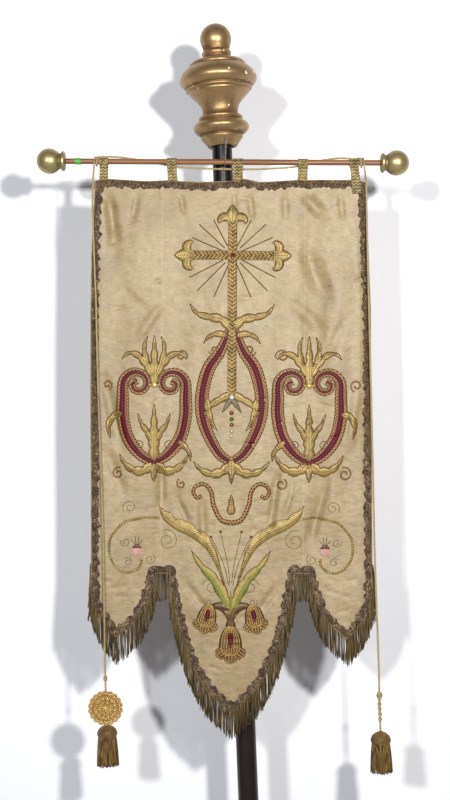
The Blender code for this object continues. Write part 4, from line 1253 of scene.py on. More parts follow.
# the middle of each thread, its reach in and out, its waves, their starts, depth and sway
WAVES = ((0.0262, 0.0040, 18, (0, pi), -0.0012, 0.0006), (0.0305, 0, 1, (0,), -0.0010, 0),
         (0.0218, 0, 1, (0,), -0.0012, 0), (0.0170, 0.0042, 12, (0, pi), -0.0014, 0.0006),
         (0.0124, 0, 1, (0,), -0.0014, 0), (0.0080, 0.0040, 8, (0, pi), -0.0016, 0.0007),
         (0.0034, 0, 1, (0,), -0.0020, 0))
# how many spangles lie in each ring, the ring's radius and theirs
SPANGLES = ((18, 0.0298, 0.0016), (18, 0.0345, 0.0010), (12, 0.0196, 0.0017), (8, 0.0104, 0.0015),
            (1, 0.0, 0.0026))


def ring_run(radius, depth):
    """A closed thread round the rosette, given its radius and depth at each angle."""
    x, y, z = ROSETTE_AT
    deep = y + np.broadcast_to(depth, RING.shape)
    return np.column_stack([x + radius * np.cos(RING), deep, z + radius * np.sin(RING)])


def spangle_look():
    """Small bright spangles with painted glitter: uneven pale specks in their colour."""
    look, tree, shader = new_look("bright spangle", 0.28, 0.55)
    cloud = noise(tree, own_place(tree), 700.0, 2.0)
    # painted highlights: fine noise turns the gold towards near white
    colour = mixed(tree, spread(tree, cloud, 0.4, 0.6), paint(255, 232, 166), paint(206, 160, 84))
    put(tree, colour, shader, "Base Color")
    return look


scallops = np.abs(np.sin(9 * RING))
rosette_runs = [ring_run(0.0330 + 0.0030 * scallops, -0.0006), ring_run(0.0312 + 0.0028 * scallops, -0.0013)]
for middle, reach, waves, starts, depth, sway in WAVES:
    for begin in starts:
        beat = waves * RING + begin
        rosette_runs.append(ring_run(middle + reach * np.cos(beat), depth + sway * np.sin(beat)))
rosette = piece("rosette_threads", thread_mesh("rosette_threads", rosette_runs, 0.00105, 1), ROSETTE_GOLD,
                ("rosette",))
# the backing disc under the rosette's threads is kept dark so that the gaps of the openwork read as shade:
# its braid colour, darkened as painted shade
NET_LOOK = braid_look("rosette net", paint(170, 126, 62), paint(72, 46, 18), 0.0020, 0.0040)
bm = bmesh.new()
uv_layer = bm.loops.layers.uv.new("UVMap")
upright = Matrix.Translation(ROSETTE_AT) @ Matrix.Rotation(pi / 2, 4, "X")
bmesh.ops.create_circle(bm, cap_ends=True, segments=72, radius=0.0325, matrix=upright)
for face in bm.faces:
    for loop in face.loops:
        loop[uv_layer].uv = (loop.vert.co.x, loop.vert.co.z)
net_mesh = finished_mesh("rosette_net", bm)
bm = bmesh.new()
for count, radius, size in SPANGLES:
    for index in range(count):
        angle = tau * (index + 0.5) / count
        at = Vector(ROSETTE_AT) + Vector((radius * cos(angle), -0.0016, radius * sin(angle)))
        flat = Matrix.Translation(at) @ Matrix.Diagonal((1, 0.6, 1, 1))
        bmesh.ops.create_icosphere(bm, subdivisions=2, radius=size, matrix=flat)
spangle_mesh = finished_mesh("rosette_spangles", bm)
spangles = piece("rosette_spangles", spangle_mesh, spangle_look())
net = piece("rosette_net", net_mesh, NET_LOOK, thick=0.0008, smooth=False)

# %% [markdown]
# ### Whipping and knot
# A few turns of thread bind the left cord just above the rosette. The right cord is tied
# into a knot above its tassel, and below the knot it runs doubled. The knot is one line
# that winds three times round while it rises and falls twice, laid up from two threads.

# %% Whipping and knot
def wound(centre, radius, tall, turns, bulge):
    """A thread wound round a cord, fuller at its middle."""
    share = np.linspace(0, 1, int(turns * 16))
    angle = tau * turns * share
    size = radius + bulge * np.sin(pi * share)
    x, y, z = centre
    return np.column_stack([x + size * np.cos(angle), y + size * np.sin(angle), z + tall * (0.5 - share)])


WHIPPING_AT = (-0.3000, -0.0473, 0.7229)
KNOT_AT = (0.2734, -0.0473, 0.6722)
mesh = thread_mesh("whipping_turns", [wound(WHIPPING_AT, 0.0031, 0.0090, 7, 0.0008)], 0.0007, 1)
whipping = piece("whipping_turns", mesh, OLIVE_CORD, ("whipping_left",))
knot_share = np.linspace(0, 1, 120)
knot_runs = []
for phase in (0.0, 0.0011):
    angle = tau * 3 * knot_share
    size = 0.0040 + 0.0011 * np.cos(tau * 4 * knot_share)
    line = np.column_stack([KNOT_AT[0] + size * np.cos(angle), KNOT_AT[1] + size * np.sin(angle),
                            KNOT_AT[2] + 0.0052 * np.sin(tau * 2 * knot_share) + phase])
    knot_runs.extend(plies(line, 0.0007, 0.008))
mesh = thread_mesh("knot_turns", knot_runs, 0.0010, 1)
knot = piece("knot_turns", mesh, OLIVE_CORD, ("knot_right",))

doubling_line = smooth_run(((0.2734, -0.0473, 0.6640), (0.2730, -0.0473, 0.6480), (0.2738, -0.0473, 0.6320),
                            (0.2736, -0.0473, 0.6190)), 0.0016)
mesh = thread_mesh("cord_doubling", plies(doubling_line, 0.0030, 0.0210), 0.0012, 1)
doubling = piece("cord_doubling", mesh, OLIVE_CORD)

# %% [markdown]
# ### Tassels
# The head is a small turned mould under a net of threads that cross, with a few turns
# wound round its top and its foot. The skirt hangs in four rings of strands, one inside
# the other, so that it is full when seen from below. Each strand drifts a little.

# %% Tassels
TASSEL_TOPS = (("left", (-0.2991, -0.0473, 0.6249)), ("right", (0.2737, -0.0473, 0.5960)))
HEAD_TALL = 0.0208
SKIRT_START = 0.0195
SKIRT_LONG = 0.0651
NET_THREADS = 20
# how many strands each ring of the skirt has, and its share of the full radius
SKIRT_RINGS = ((72, 1.0), (60, 0.90), (40, 0.72), (24, 0.45))
HEAD = ((0.0, 0.0035), (0.003, 0.011), (0.009, 0.0175), (0.016, 0.020), (HEAD_TALL, 0.0192))
SKIRT = ((0.0212, 0.0185), (0.0350, 0.0205), (0.0600, 0.0225), (0.0846, 0.0238))
TASSELS = {}
tassel_draw = random.Random(8)


def round_axis(place, radius, angle, down):
    """Points round the upright axis of a tassel."""
    x, y, z = place
    return np.column_stack([x + radius * np.cos(angle), y + radius * np.sin(angle), z - down])


def head_run(place, start, twist):
    """One thread of the net that covers the head."""
    share = np.linspace(0, 1, 26)
    down = HEAD_TALL * share
    return round_axis(place, between(HEAD, down) + 0.0006, start + twist * share, down)


def skirt_run(place, start, inner):
    """One strand of the skirt: out over the mould's rim, then down."""
    share = np.linspace(0, 1, 12)
    down = SKIRT_START + (SKIRT_LONG - tassel_draw.uniform(0, 0.0035)) * share
    radius = between(SKIRT, down) * inner - 0.0006
    sway = tassel_draw.gauss(0, 0.05)
    angle = start + sway * share ** 1.5 + tassel_draw.gauss(0, 0.02) * np.sin(pi * share)
    radius = radius * (1 - 0.05 * tassel_draw.random() * share)
    return round_axis(place, radius, angle, down)


MOULD = plain_look("tassel mould", paint(84, 60, 28), paint(40, 26, 12), 0.5, 0.2)
mould_profile = smooth_run([(-down, radius) for down, radius in reversed(HEAD)], 0.0012)
for side, place in TASSEL_TOPS:
    x, y, z = place
    mould = turned("tassel_mould_" + side, mould_profile, 36, Matrix.Translation(place), MOULD,
                   "tassel_head_" + side)
    nets = [head_run(place, tau * index / NET_THREADS, twist) for index in range(NET_THREADS)
            for twist in (-1.5, 1.5)]
    nets.append(wound((x, y, z - 0.0205), 0.0193, 0.0022, 2, 0.0))
    nets.append(wound((x, y, z - 0.0010), 0.0040, 0.0040, 3, 0.0008))
    mesh = thread_mesh("tassel_net_" + side, nets, 0.00075, 1)
    crown = piece("tassel_net_" + side, mesh, GOLD_CORD)
    skirts = [skirt_run(place, tau * (index + 0.3 * ring) / count, inner)
              for ring, (count, inner) in enumerate(SKIRT_RINGS) for index in range(count)]
    mesh = thread_mesh("tassel_skirt_threads_" + side, skirts, 0.00082, 0)
    skirt = piece("tassel_skirt_threads_" + side, mesh, TASSEL_GOLD, ("tassel_skirt_" + side,))
    TASSELS[side] = [mould, crown, skirt]

# %% [markdown]
# ## The embroidery
# Church embroidery of this kind is laid work. Padded shapes are covered with gold thread,
# and cords are couched down round them. Two tools are enough: one lays a padded ribbon of
# stitches along a line drawn on the cloth, and one couches threads along a line. A leaf is
# a ribbon whose width swells, with lobes. The design is drawn here as smooth lines through
# a few given points, and everything is the same on both sides of the middle.

# %% A motif and its tools
STITCH_STEP = 0.0022


def leaf_width(share, widest, lobes=0, blunt=0.55):
    """Half the width along a leaf that starts narrow, swells and ends in a point."""
    half = widest * np.sin(pi * np.clip(0.06 + 0.94 * share, 0, 1) ** blunt) ** 0.8
    if lobes:
        half = half * (0.58 + 0.42 * np.abs(np.sin(pi * lobes * share)) ** 0.6)
    return np.maximum(half, 0.0005)


def spiral(centre, first, last, turns, start, way=1, step=0.0020):
    """A line that winds in from the first radius to the last. A way of 1 climbs at its start."""
    share = np.linspace(0, 1, 90)
    angle = start + way * tau * turns * share
    radius = first + (last - first) * share ** 0.85
    line = np.column_stack([centre[0] + radius * np.cos(angle), centre[1] - radius * np.sin(angle)])
    return even_steps(line, step)


class Motif:
    """One motif of the embroidery: its padded work and its couched threads, finish by finish."""

    def __init__(self, name):
        self.name = name
        self.padded = {}
        self.couched = {}

    def lay(self, look, line, half, lift=0.0010, shift=0.0, base=0.0002, columns=7, lobes_one_side=None):
        """A padded ribbon along a line of (across, drop)."""
        patches = self.padded.setdefault(look.name, Patches())
        side = side_way(line)
        half = np.broadcast_to(np.asarray(half, float), len(line))
        share = np.linspace(-1, 1, columns)
        out = half[:, None] * share
        if lobes_one_side is not None:
            out = np.where(share < 0, out, lobes_one_side[:, None] * share)
        out = out + np.broadcast_to(np.asarray(shift, float), len(line))[:, None]
        x = line[:, :1] + side[:, :1] * out
        d = line[:, 1:] + side[:, 1:] * out
        rise = base + lift * np.sqrt(np.clip(1 - share ** 2, 0, 1)) * np.clip(half / 0.004, 0.25, 1)[:, None]
        rise[:, [0, -1]] = -0.0003
        along = np.r_[0, np.cumsum(np.linalg.norm(np.diff(line, axis=0), axis=1))]
        along = np.broadcast_to(along[:, None], x.shape)
        patches.add(on_cloth(x, d, rise), along, half[:, None] * share)

    def couch(self, look, line, radius=0.0006, lift=0.0006, shift=0.0):
        """A thread along a line, moved sideways by the shift."""
        line = line + side_way(line) * np.broadcast_to(np.asarray(shift, float), len(line))[:, None]
        runs = self.couched.setdefault((look.name, radius), [])
        runs.append(on_cloth(line[:, 0], line[:, 1], lift))

    def leaf(self, look, points, widest, lobes=0, lift=0.0014, blunt=0.55, vein=True):
        """A padded leaf between two brown threads, most with a third down its middle."""
        line = smooth_run(points, STITCH_STEP)
        share = share_along(line)
        half = leaf_width(share, widest, lobes, blunt)
        self.lay(look, line, half, lift)
        self.couch(BROWN_CORD, line, 0.0007, 0.0005, half)
        self.couch(BROWN_CORD, line, 0.0007, 0.0005, -half)
        if vein:
            inner = line[: int(len(line) * 0.86)]
            self.couch(BROWN_CORD, inner, 0.0005, lift + 0.0003)

    def finish(self):
        """Make the pieces: one for each padded finish and one for each kind of thread."""
        for name, patches in self.padded.items():
            label = self.name + "_" + name.split()[-1]
            piece(label, patches.mesh(label), bpy.data.materials[name])
        for index, ((name, radius), runs) in enumerate(self.couched.items()):
            label = f"{self.name}_threads_{index + 1}"
            piece(label, thread_mesh(label, runs, radius, 0), bpy.data.materials[name])


def pair(points):
    """The points as drawn on the left, and their mirror on the right."""
    return points, mirrored(points)


# %% Embroidery finishes
def check_look(name, first, second, size):
    """Couching in two colours: cords of gold and brown that change places stitch by stitch, with painted
    shade between the cords.
    """
    look, tree, shader = new_look(name, 0.42, 0.35)
    uv = uv_map(tree)
    where = own_place(tree)
    shifted = node(tree, "ShaderNodeMapping", {0: uv, "Location": (0, 0.5, 0.0005)}).outputs[0]
    check = node(tree, "ShaderNodeTexChecker", {"Vector": shifted, "Scale": 1 / size}).outputs[1]
    ridge = effect(tree, STITCHES, {"UV": uv, "Spacing": size, "Slant": 0.0})
    age = effect(tree, AGE, {"Vector": where, "Size": 0.012, "Share": 0.35})
    colour = mixed(tree, check, second, first)
    # painted shade: the colour darkens between the couched cords, and more where the age mask is high
    shade = calc(tree, "MULTIPLY", calc(tree, "SUBTRACT", 1.0, ridge), 0.35)
    dark = calc(tree, "MULTIPLY_ADD", age, 0.3, shade)
    put(tree, mixed(tree, dark, colour, paint(48, 30, 18)), shader, "Base Color")
    bump(tree, shader, calc(tree, "MULTIPLY_ADD", check, 0.5, ridge), 0.8, 0.0005)
    return look


CHECK = check_look("couched checks", paint(172, 136, 78), paint(100, 40, 24), 0.0036)
CROSS_BRAID = braid_look("gold plait", paint(176, 148, 80), paint(58, 40, 16), 0.02, 0.0082)
VINE_BRAID = braid_look("gold vine", paint(176, 152, 90), paint(84, 66, 32), 0.02, 0.0056)
GREY_THREAD = thread_look("grey tendril thread", paint(144, 128, 86), paint(78, 66, 40), 0.0030, 2, 0.2, 0.5)
GREY_LEAF = stitch_look("grey leaf stitches", paint(140, 130, 104), paint(72, 62, 44), 0.0014, 0.7)
OLIVE_PETAL = stitch_look("olive petal stitches", paint(104, 74, 34), paint(40, 25, 10), 0.0056, 1.1, 0.3)
print("embroidery finishes ready,", len(bpy.data.materials), "finishes in all")

# %% [markdown]
# ### Cross and rays
# The cross is two widths of flat gold plait between cords, one over the other. Each of its
# three free ends opens into a bud between two hooks, and its shaft ends in a spray of
# leaves. Straight gold threads run out between the arms as rays.

# %% Cross and rays
cross = Motif("cross")
CROSS_AT = (0.0, 0.1970)
shaft = smooth_run(((0.0, 0.126), (0.0, 0.250), (0.0, 0.380), (0.0, 0.4925)), 0.003)
cross.lay(CROSS_BRAID, shaft, 0.0088, 0.0022)
arm = smooth_run(((-0.088, 0.1966), (0.0, 0.1970), (0.088, 0.1974)), 0.003)
cross.lay(CROSS_BRAID, arm, 0.0084, 0.0018)
for line in (shaft, arm):
    for side in (-1, 1):
        cross.couch(GOLD_CORD, line, 0.0007, 0.0005, side * 0.0090)
for at, way in (((0.0, 0.1270), (0, -1)), ((-0.0860, 0.1966), (-1, 0)), ((0.0880, 0.1974), (1, 0))):
    along, sideways = np.array(way, float), np.array((-way[1], way[0]), float)
    at = np.array(at)
    tip = [at - along * 0.004, at + along * 0.014, at + along * 0.036]
    cross.leaf(GOLD_LEAF, tip, 0.0128, 0, 0.0026, 1.05)
    for side in (-1, 1):
        hook = [at, at + along * 0.009 + sideways * side * 0.010,
                at + along * 0.010 + sideways * side * 0.020, at + along * 0.003 + sideways * side * 0.0270,
                at - along * 0.004 + sideways * side * 0.0265]
        cross.leaf(GOLD_LEAF, hook, 0.0092, 0, 0.0022, 1.1)
    bar = np.array([at - sideways * 0.0125, at + sideways * 0.0125])
    cross.lay(GOLD_LEAF, even_steps(bar, 0.002), 0.0026, 0.0022)
RAYS = ((28, 0.084), (47, 0.096), (66, 0.092), (156, 0.096), (135, 0.105), (117, 0.102))
for degrees, far in RAYS:
    for side in (-1, 1):
        way = np.array((side * sin(radians(degrees)), -cos(radians(degrees))))
        run = np.array([np.array(CROSS_AT) + way * 0.022, np.array(CROSS_AT) + way * far])
        cross.couch(GOLD_CORD, even_steps(run, 0.004), 0.0008, 0.0006)
        cross.couch(BROWN_CORD, even_steps(run, 0.004), 0.0004, 0.0004, 0.0011)
for points in pair([(-0.002, 0.488), (-0.018, 0.497), (-0.040, 0.510), (-0.061, 0.5365)]):
    cross.leaf(GOLD_LEAF, points, 0.0085, 3)
for points in pair([(-0.001, 0.498), (-0.007, 0.508), (-0.014, 0.518), (-0.020, 0.527)]):
    cross.leaf(GREY_LEAF, points, 0.0050, 0)
cross.finish()

# %% [markdown]
# ## The crimson scrollwork
# The middle of the banner carries its heaviest work: bands of crimson between borders of
# brown and gold couching. They are scrolls of no meaning: a pointed ogee stands round the
# foot of the cross, and a lyre of two limbs that roll inwards stands on each side of it,
# with leaves of gold.

# %% Crimson bands
CORE_HALF = 0.0075
BORDER_HALF = 0.0030


def crimson_band(motif, line, taper):
    """A crimson core between two checked borders, with a thin gold cord outside them."""
    core = CORE_HALF * taper
    border = BORDER_HALF * (0.45 + 0.55 * taper)
    motif.lay(CRIMSON, line, core, 0.0009)
    for side in (-1, 1):
        motif.lay(CHECK, line, border, 0.0014, side * (core + border))
        motif.couch(BROWN_CORD, line, 0.0005, 0.0004, side * (core + 2 * border + 0.0003))


ogee = Motif("ogee")
OGEE_HALF = [(0.0, 0.633), (-0.029, 0.610), (-0.057, 0.553), (-0.063, 0.497), (-0.050, 0.438),
             (-0.025, 0.400), (-0.0105, 0.366), (0.0, 0.337)]
for points in pair(OGEE_HALF):
    line = smooth_run(points, 0.0024)
    share = share_along(line)
    taper = 0.60 + 0.40 * np.sin(pi * np.clip(share, 0, 0.5)) - 0.55 * ramp(share, 0.62, 1.0)
    crimson_band(ogee, line, taper)
# the points of each leaf, its greatest half width and its lobes
OGEE_LEAVES = (([(-0.004, 0.350), (-0.022, 0.332), (-0.052, 0.326), (-0.075, 0.318), (-0.089, 0.299)],
                0.0100, 4),
               ([(-0.010, 0.366), (-0.030, 0.362), (-0.048, 0.368), (-0.060, 0.382)], 0.0070, 2),
               ([(-0.004, 0.636), (-0.020, 0.652), (-0.044, 0.656), (-0.066, 0.646), (-0.080, 0.630)],
                0.0105, 4),
               ([(-0.052, 0.500), (-0.050, 0.520), (-0.042, 0.548), (-0.030, 0.566)], 0.0075, 3))
for points, widest, lobes in OGEE_LEAVES:
    for half in pair(points):
        ogee.leaf(GOLD_LEAF, half, widest, lobes)
ogee.leaf(GOLD_LEAF, [(0.0, 0.628), (0.0, 0.650), (0.0, 0.678)], 0.0095, 3, 0.0018)
# the middle of each tendril, its first and last radius, turns and start
TENDRILS = ((-0.0370, 0.3960, 0.0125, 0.0030, 1.30, 3.4), (-0.2620, 0.4700, 0.0125, 0.0030, 1.20, -1.2),
            (-0.1060, 0.4080, 0.0140, 0.0035, 1.35, -0.4), (-0.2380, 0.6560, 0.0145, 0.0035, 1.35, 1.2),
            (-0.1050, 0.6780, 0.0120, 0.0030, 1.20, 2.0))
for x, d, first, last, turns, begin in TENDRILS:
    for side in (1, -1):
        curl = spiral((side * x, d), first, last, turns, begin if side > 0 else pi - begin, side)
        ogee.lay(CHECK, curl, np.linspace(0.0013, 0.0022, len(curl)), 0.0010)
        ogee.couch(BROWN_CORD, curl, 0.0005, 0.0004, 0.0022)
ogee.finish()

lyres = Motif("lyres")
LYRE_AXIS = 0.1630
# sideways from the lyre's axis and drop: the limb, and then its leaves
LIMB = ((0.000, 0.634), (0.030, 0.615), (0.056, 0.578), (0.066, 0.534), (0.066, 0.496))
LYRE_LEAVES = ((((0.004, 0.450), (0.018, 0.424), (0.038, 0.406), (0.056, 0.404), (0.068, 0.416)), 0.0095, 4),
               (((0.004, 0.636), (0.022, 0.650), (0.044, 0.648), (0.062, 0.634), (0.072, 0.616)), 0.0105, 4),
               (((0.004, 0.588), (0.016, 0.566), (0.026, 0.552), (0.034, 0.530)), 0.0065, 3),
               (((0.014, 0.428), (0.020, 0.404), (0.020, 0.384), (0.014, 0.368)), 0.0065, 2))
MIDDLE_LEAVES = ((((0.0, 0.470), (0.0, 0.430), (0.0, 0.392), (0.0, 0.366)), 0.0105, 4),
                 (((0.0, 0.626), (0.0, 0.590), (0.0, 0.548), (0.0, 0.510)), 0.0120, 5),
                 (((0.0, 0.640), (0.0, 0.655), (0.0, 0.674)), 0.0085, 2))
for axis in (-LYRE_AXIS, LYRE_AXIS):
    for way in (-1, 1):
        coil = spiral((way * 0.0350, 0.4680), 0.0310, 0.0070, 1.25, 0.0 if way > 0 else pi, way, 0.0024)
        line = smooth_run(np.vstack([np.array(LIMB) * (way, 1), coil[::6]]) + (axis, 0.0), 0.0024)
        share = share_along(line)
        crimson_band(lyres, line, 0.62 + 0.33 * ramp(share, 0.0, 0.20) - 0.55 * ramp(share, 0.40, 0.85))
        for points, widest, lobes in LYRE_LEAVES:
            lyres.leaf(GOLD_LEAF, [(axis + way * across, drop) for across, drop in points], widest, lobes)
        curl = spiral((axis + way * 0.0300, 0.5960), 0.0100, 0.0030, 1.2, 0.6 if way > 0 else pi - 0.6, way)
        lyres.couch(BROWN_CORD, curl, 0.0008, 0.0006)
    for points, widest, lobes in MIDDLE_LEAVES:
        lyres.leaf(GOLD_LEAF, [(axis + across, drop) for across, drop in points], widest, lobes, 0.0018)
    clasp = even_steps([(axis - 0.011, 0.470), (axis + 0.011, 0.470)], 0.002)
    lyres.lay(GOLD_LEAF, clasp, 0.0034, 0.0024)
OUTER_LEAVES = (([(-0.231, 0.530), (-0.249, 0.536), (-0.259, 0.556), (-0.255, 0.582)], 0.0080, 3),
                ([(-0.112, 0.588), (-0.098, 0.600), (-0.088, 0.614), (-0.086, 0.630)], 0.0065, 2))
for points, widest, lobes in OUTER_LEAVES:
    for half in pair(points):
        lyres.leaf(GOLD_LEAF, half, widest, lobes)
lyres.finish()

# %% [markdown]
# ## The lower scroll and its large leaves
# Below the bands the work grows lighter. A looped scroll of checked couching comes first,
# with two large gold leaves that rise from the flower. Each has lobes along its outer side
# only, so the ribbon is laid with a different half width on each side of its line.

# %% Looped scroll and large leaves
lower = Motif("scroll")
for points in pair([(0.0, 0.760), (-0.022, 0.752), (-0.037, 0.722), (-0.042, 0.695), (-0.055, 0.679),
                    (-0.072, 0.681), (-0.080, 0.694), (-0.072, 0.707), (-0.062, 0.702)]):
    line = smooth_run(points, STITCH_STEP)
    lower.lay(CHECK, line, np.linspace(0.0047, 0.0030, len(line)), 0.0014)
    for side in (-1, 1):
        lower.couch(BROWN_CORD, line, 0.0005, 0.0004, side * np.linspace(0.0050, 0.0033, len(line)))
lower.leaf(GOLD_LEAF, [(0.0, 0.742), (0.0, 0.722), (0.0, 0.700)], 0.0085, 2, 0.0018)
ACANTHUS = [(-0.010, 0.905), (-0.022, 0.862), (-0.044, 0.812), (-0.078, 0.782), (-0.112, 0.766),
            (-0.140, 0.746), (-0.153, 0.722)]
for points in pair(ACANTHUS):
    line = smooth_run(points, STITCH_STEP)
    share = share_along(line)
    inner = 0.0040 + 0.0055 * np.sin(pi * np.clip((share - 0.2) / 0.8, 0, 1))
    outer = inner + 0.0080 * np.clip((share - 0.30) / 0.3, 0, 1) * np.abs(np.sin(pi * 5 * share)) ** 0.6
    fade = np.clip((1 - share) / 0.12, 0.05, 1) * (0.45 + 0.55 * ramp(share, 0.05, 0.35))
    flip = points[0][0] < 0
    lower.lay(GOLD_LEAF, line, (outer if flip else inner) * fade, 0.0016,
              lobes_one_side=(inner if flip else outer) * fade)
    for half, sign in ((inner * fade, 1 if flip else -1), (outer * fade, -1 if flip else 1)):
        lower.couch(GOLD_CORD, line, 0.0006, 0.0004, sign * half)
    lower.couch(BROWN_CORD, line[6:-8], 0.0006, 0.0018)
lower.finish()

# %% [markdown]
# ### Vines, roses and tendrils
# On each side a vine in flat gold plait bends round to a small pink rose. The rose is a fan
# of six padded petals in pink floss that open downwards from an olive cap, with fine sprigs
# above it. Single threads make the tendrils, which are spirals of different sizes.

# %% Vines, roses and tendrils
vines = Motif("vines")
VINE = [(-0.150, 0.7505), (-0.175, 0.7480), (-0.1995, 0.7520), (-0.2225, 0.7580), (-0.2385, 0.7715),
        (-0.2520, 0.7900), (-0.2560, 0.8090), (-0.2540, 0.8300), (-0.2450, 0.8480), (-0.2300, 0.8610),
        (-0.2120, 0.8640), (-0.1960, 0.8560), (-0.1880, 0.8440), (-0.1890, 0.8340)]
# the turn of each petal in degrees, and its length
PETALS = ((-75, 0.0125), (-45, 0.0150), (-15, 0.0165), (15, 0.0165), (45, 0.0150), (75, 0.0125))
SPRIGS = ((0.012, 0.796), (0.004, 0.789))
# the middle of each curl, its first and last radius, turns, start and way round
CURLS = ((0.213, 0.727, 0.0155, 0.0030, 1.5, -0.6, 1), (0.134, 0.797, 0.0235, 0.0050, 1.6, 1.2, 1),
         (0.2220, 0.800, 0.0110, 0.0030, 1.3, 0.4, -1), (0.2170, 0.842, 0.0100, 0.0025, 1.2, 0.9, 1),
         (0.1700, 0.836, 0.0120, 0.0030, 1.3, 2.2, 1), (0.041, 0.893, 0.0190, 0.0040, 1.5, 0.2, 1),
         (0.047, 0.925, 0.0095, 0.0025, 1.3, 0.6, -1))
for points in pair(VINE):
    vines.lay(VINE_BRAID, smooth_run(points, STITCH_STEP), 0.0031, 0.0014)
for side in (-1, 1):
    x = side * 0.1975
    root = np.array((x, 0.8145))
    for turn, reach in PETALS:
        out = np.array((sin(radians(turn)), cos(radians(turn))))
        petal = smooth_run([root, root + out * reach * 0.6, root + out * reach], 0.0014)
        vines.lay(PINK_FLOSS, petal, leaf_width(share_along(petal), 0.0036, 0, 1.3), 0.0022)
    cap = smooth_run([(x - 0.0095, 0.8125), (x, 0.8085), (x + 0.0095, 0.8125)], 0.0016)
    vines.lay(OLIVE_PETAL, cap, 0.0042 * np.sin(pi * np.linspace(0.12, 0.88, len(cap))), 0.0018)
    for reach, high in SPRIGS:
        for way in (-1, 1):
            sprig = [(x, 0.810), (x + way * reach * 0.6, 0.801), (x + way * reach, high)]
            vines.couch(BROWN_CORD, smooth_run(sprig, 0.002), 0.0006, 0.0006)
    for across, drop, first, last, turns, begin, flip in CURLS:
        begin = begin if side > 0 else pi - begin
        curl = spiral((side * across, drop), first, last, turns, begin, flip * side)
        vines.couch(GREY_THREAD, curl, 0.0006, 0.0006)
vines.finish()

# %% [markdown]
# ### Flower with its leaves and stamens
# The flower hangs in three heads below two lobed leaves of yellow floss with a green rib.
# A head is a blunt oval over three lobes, padded in olive gold, under close rows of bright
# gold cord that follow its outline, with a crimson heart.

# %% Flower with its leaves and stamens
flower = Motif("flower")
for points in pair([(-0.005, 0.9545), (-0.013, 0.915), (-0.036, 0.876), (-0.062, 0.850), (-0.083, 0.818)]):
    flower.leaf(YELLOW_FLOSS, points, 0.0120, 4, 0.0013, 0.70, False)
    line = smooth_run(points, STITCH_STEP)
    share = share_along(line)
    side = 1 if points[0][0] < 0 else -1
    green = 0.0064 * (1 - 0.85 * ramp(share, 0.40, 0.98))
    flower.lay(GREEN_FLOSS, line, green, 0.0022, side * 0.0046 * np.sin(pi * share ** 0.7))
stem = smooth_run(((0.0, 0.962), (0.0, 0.935), (0.0, 0.900)), 0.002)
flower.lay(GREEN_FLOSS, stem, leaf_width(share_along(stem), 0.0060), 0.0020)
for points in pair([(-0.004, 0.952), (-0.012, 0.928), (-0.020, 0.905)]):
    flower.leaf(GREEN_FLOSS, points, 0.0042, 0, 0.0016)
STAMENS = [((-0.004, 0.890), (-0.014, 0.850), (-0.030, 0.812), (-0.042, 0.7886)),
           ((-0.002, 0.885), (-0.007, 0.845), (-0.016, 0.806), (-0.022, 0.7780))]
for points in STAMENS:
    for half in pair(points):
        flower.couch(BROWN_CORD, smooth_run(half, 0.003), 0.0006, 0.0006)
# each head of the flower: its middle, the way that it hangs, its half length and half width
HEADS = ((-0.0490, 0.9535, (-0.22, 1.0), 0.0235, 0.0250), (0.0490, 0.9535, (0.22, 1.0), 0.0235, 0.0250),
         (0.0, 1.0060, (0.0, 1.0), 0.0310, 0.0300))


def round_petal(middle, way, reach, wide, lift, rows, base=0.0002):
    """A blunt padded oval under rows of gold cord, a little wider at its far end, edged in brown."""
    line = even_steps([middle - way * reach, middle + way * reach], 0.0014)
    place = np.linspace(-0.97, 0.985, len(line))
    half = wide * np.clip(1 - np.abs(place) ** 2.6, 0, 1) ** 0.5 * (0.80 + 0.20 * place)
    flower.lay(OLIVE_PETAL, line, half, lift, base=base, columns=11)
    for edge in (half, -half):
        flower.couch(BROWN_CORD, line, 0.0008, base + 0.0008, edge)
    for share in np.linspace(-0.82, 0.82, rows):
        flower.couch(ROSETTE_GOLD, line, 0.0010, base + lift * (1 - share ** 2) ** 0.5 + 0.0004, share * half)


for points in pair([(-0.002, 0.964), (-0.006, 0.947), (-0.018, 0.935), (-0.034, 0.933), (-0.046, 0.940)]):
    flower.leaf(OLIVE_PETAL, points, 0.0088, 0, 0.0026, 0.9, False)
flower.leaf(OLIVE_PETAL, [(0.0, 0.958), (0.0, 0.970), (0.0, 0.990)], 0.0100, 0, 0.0024, 1.15, False)
for x, d, way, reach, wide in HEADS:
    middle = np.array((x, d))
    way = np.array(way) / hypot(*way)
    across = np.array((way[1], -way[0]))
    for turn in (-52, 0, 52):
        out = way * cos(radians(turn)) + across * sin(radians(turn))
        lobe = middle + way * reach * 0.36 + out * wide * 0.62
        round_petal(lobe, out, wide * 0.58, wide * 0.50, 0.0022, 4)
    round_petal(middle, way, reach, wide * 0.93, 0.0030, 8, 0.0012)
    root = middle - way * reach * 0.86
    core = smooth_run([root + way * reach * 0.30, middle, middle + way * reach * 0.55], 0.002)
    share = share_along(core)
    flower.lay(CRIMSON, core, leaf_width(share, wide * 0.28), 0.0016, base=0.0046)
    for edge in (-1, 1):
        flower.couch(GOLD_CORD, core, 0.0009, 0.0052, edge * leaf_width(share, wide * 0.33))
flower.finish()

# %% [markdown]
# ## Stones
# A few glass stones are sewn on down the middle, each in a little ring of gold cord. They
# are low domes, cut with a few flat faces so that they catch the light. The brown beads at
# the tips of the stamens lie lower and have no ring, and two gold ones sit on the clasps.

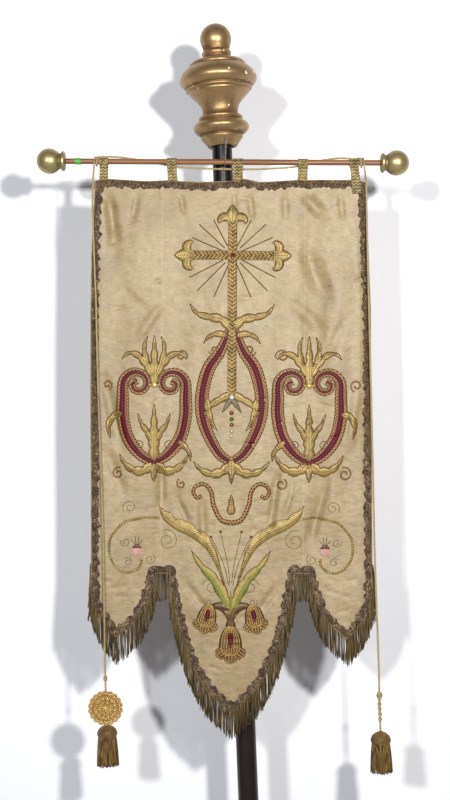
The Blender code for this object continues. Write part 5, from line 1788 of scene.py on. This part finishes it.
# %% Stones
def stone_look(name, colour, deep):
    """Glass with a cloud of a deeper colour in it, under a clear coat."""
    look, tree, shader = new_look(name, 0.12)
    where = own_place(tree)
    cloud = noise(tree, where, 400.0, 1.0)
    put(tree, mixed(tree, spread(tree, cloud, 0.35, 0.65), colour, deep), shader, "Base Color")
    shader.inputs["Coat Weight"].default_value = 1.0
    shader.inputs["Coat Roughness"].default_value = 0.05
    return look


# name, colour and deeper colour, and then across, drop and radius of each stone
STONES = (("dark_red", paint(132, 22, 34), paint(70, 8, 18), ((0.0, 0.1970, 0.0050), (0.0, 0.5280, 0.0040))),
          ("clear", paint(204, 206, 203), paint(140, 146, 150), ((0.0, 0.4950, 0.0050), (0.0, 0.5660, 0.0030),
                                                                 (0.0, 0.5765, 0.0028))),
          ("green", paint(34, 104, 60), paint(10, 54, 30), ((0.0, 0.5410, 0.0038),)),
          ("brown_red", paint(116, 44, 30), paint(60, 20, 16), ((0.0, 0.5530, 0.0036),)),
          ("stamen_brown", paint(104, 74, 44), paint(58, 38, 24),
           ((-0.042, 0.7886, 0.0030), (0.042, 0.7886, 0.0030), (-0.022, 0.7780, 0.0030),
            (0.022, 0.7780, 0.0030))),
          ("clasp_gold", paint(222, 184, 96), paint(150, 108, 44),
           ((-0.163, 0.470, 0.0050), (0.163, 0.470, 0.0050))))
rings = Motif("stone_rings")
for name, colour, deep, places in STONES:
    bm = bmesh.new()
    for across, drop, radius in places:
        lift = 0.0024 if name != "stamen_brown" else 0.0004
        centre = Vector(on_cloth(across, drop, lift))
        flat = Matrix.Translation(centre) @ Matrix.Diagonal((1, 0.55, 1, 1))
        bmesh.ops.create_icosphere(bm, subdivisions=2, radius=radius, matrix=flat)
        circle = spiral((across, drop), radius, radius, 1.0, 0.0, 1, 0.0012)
        if name != "stamen_brown":
            rings.couch(GOLD_CORD, circle, 0.0007, lift + 0.0002)
    mesh = finished_mesh("stones_" + name, bm)
    piece("stones_" + name, mesh, stone_look("stone " + name, colour, deep), smooth=False)
rings.finish()

# %% [markdown]
# ## The cords and the pieces at their ends
# The loop below only picks up each cord's route beside the pieces that hang at its end.

for side, ends in (("left", [whipping, rosette, net, spangles, *TASSELS["left"]]),
                   ("right", [knot, doubling, *TASSELS["right"]])):
    line = ROUTES[side]
line = ROUTES["back"]
print(len(ROUTES), "cords and one sheet declared")
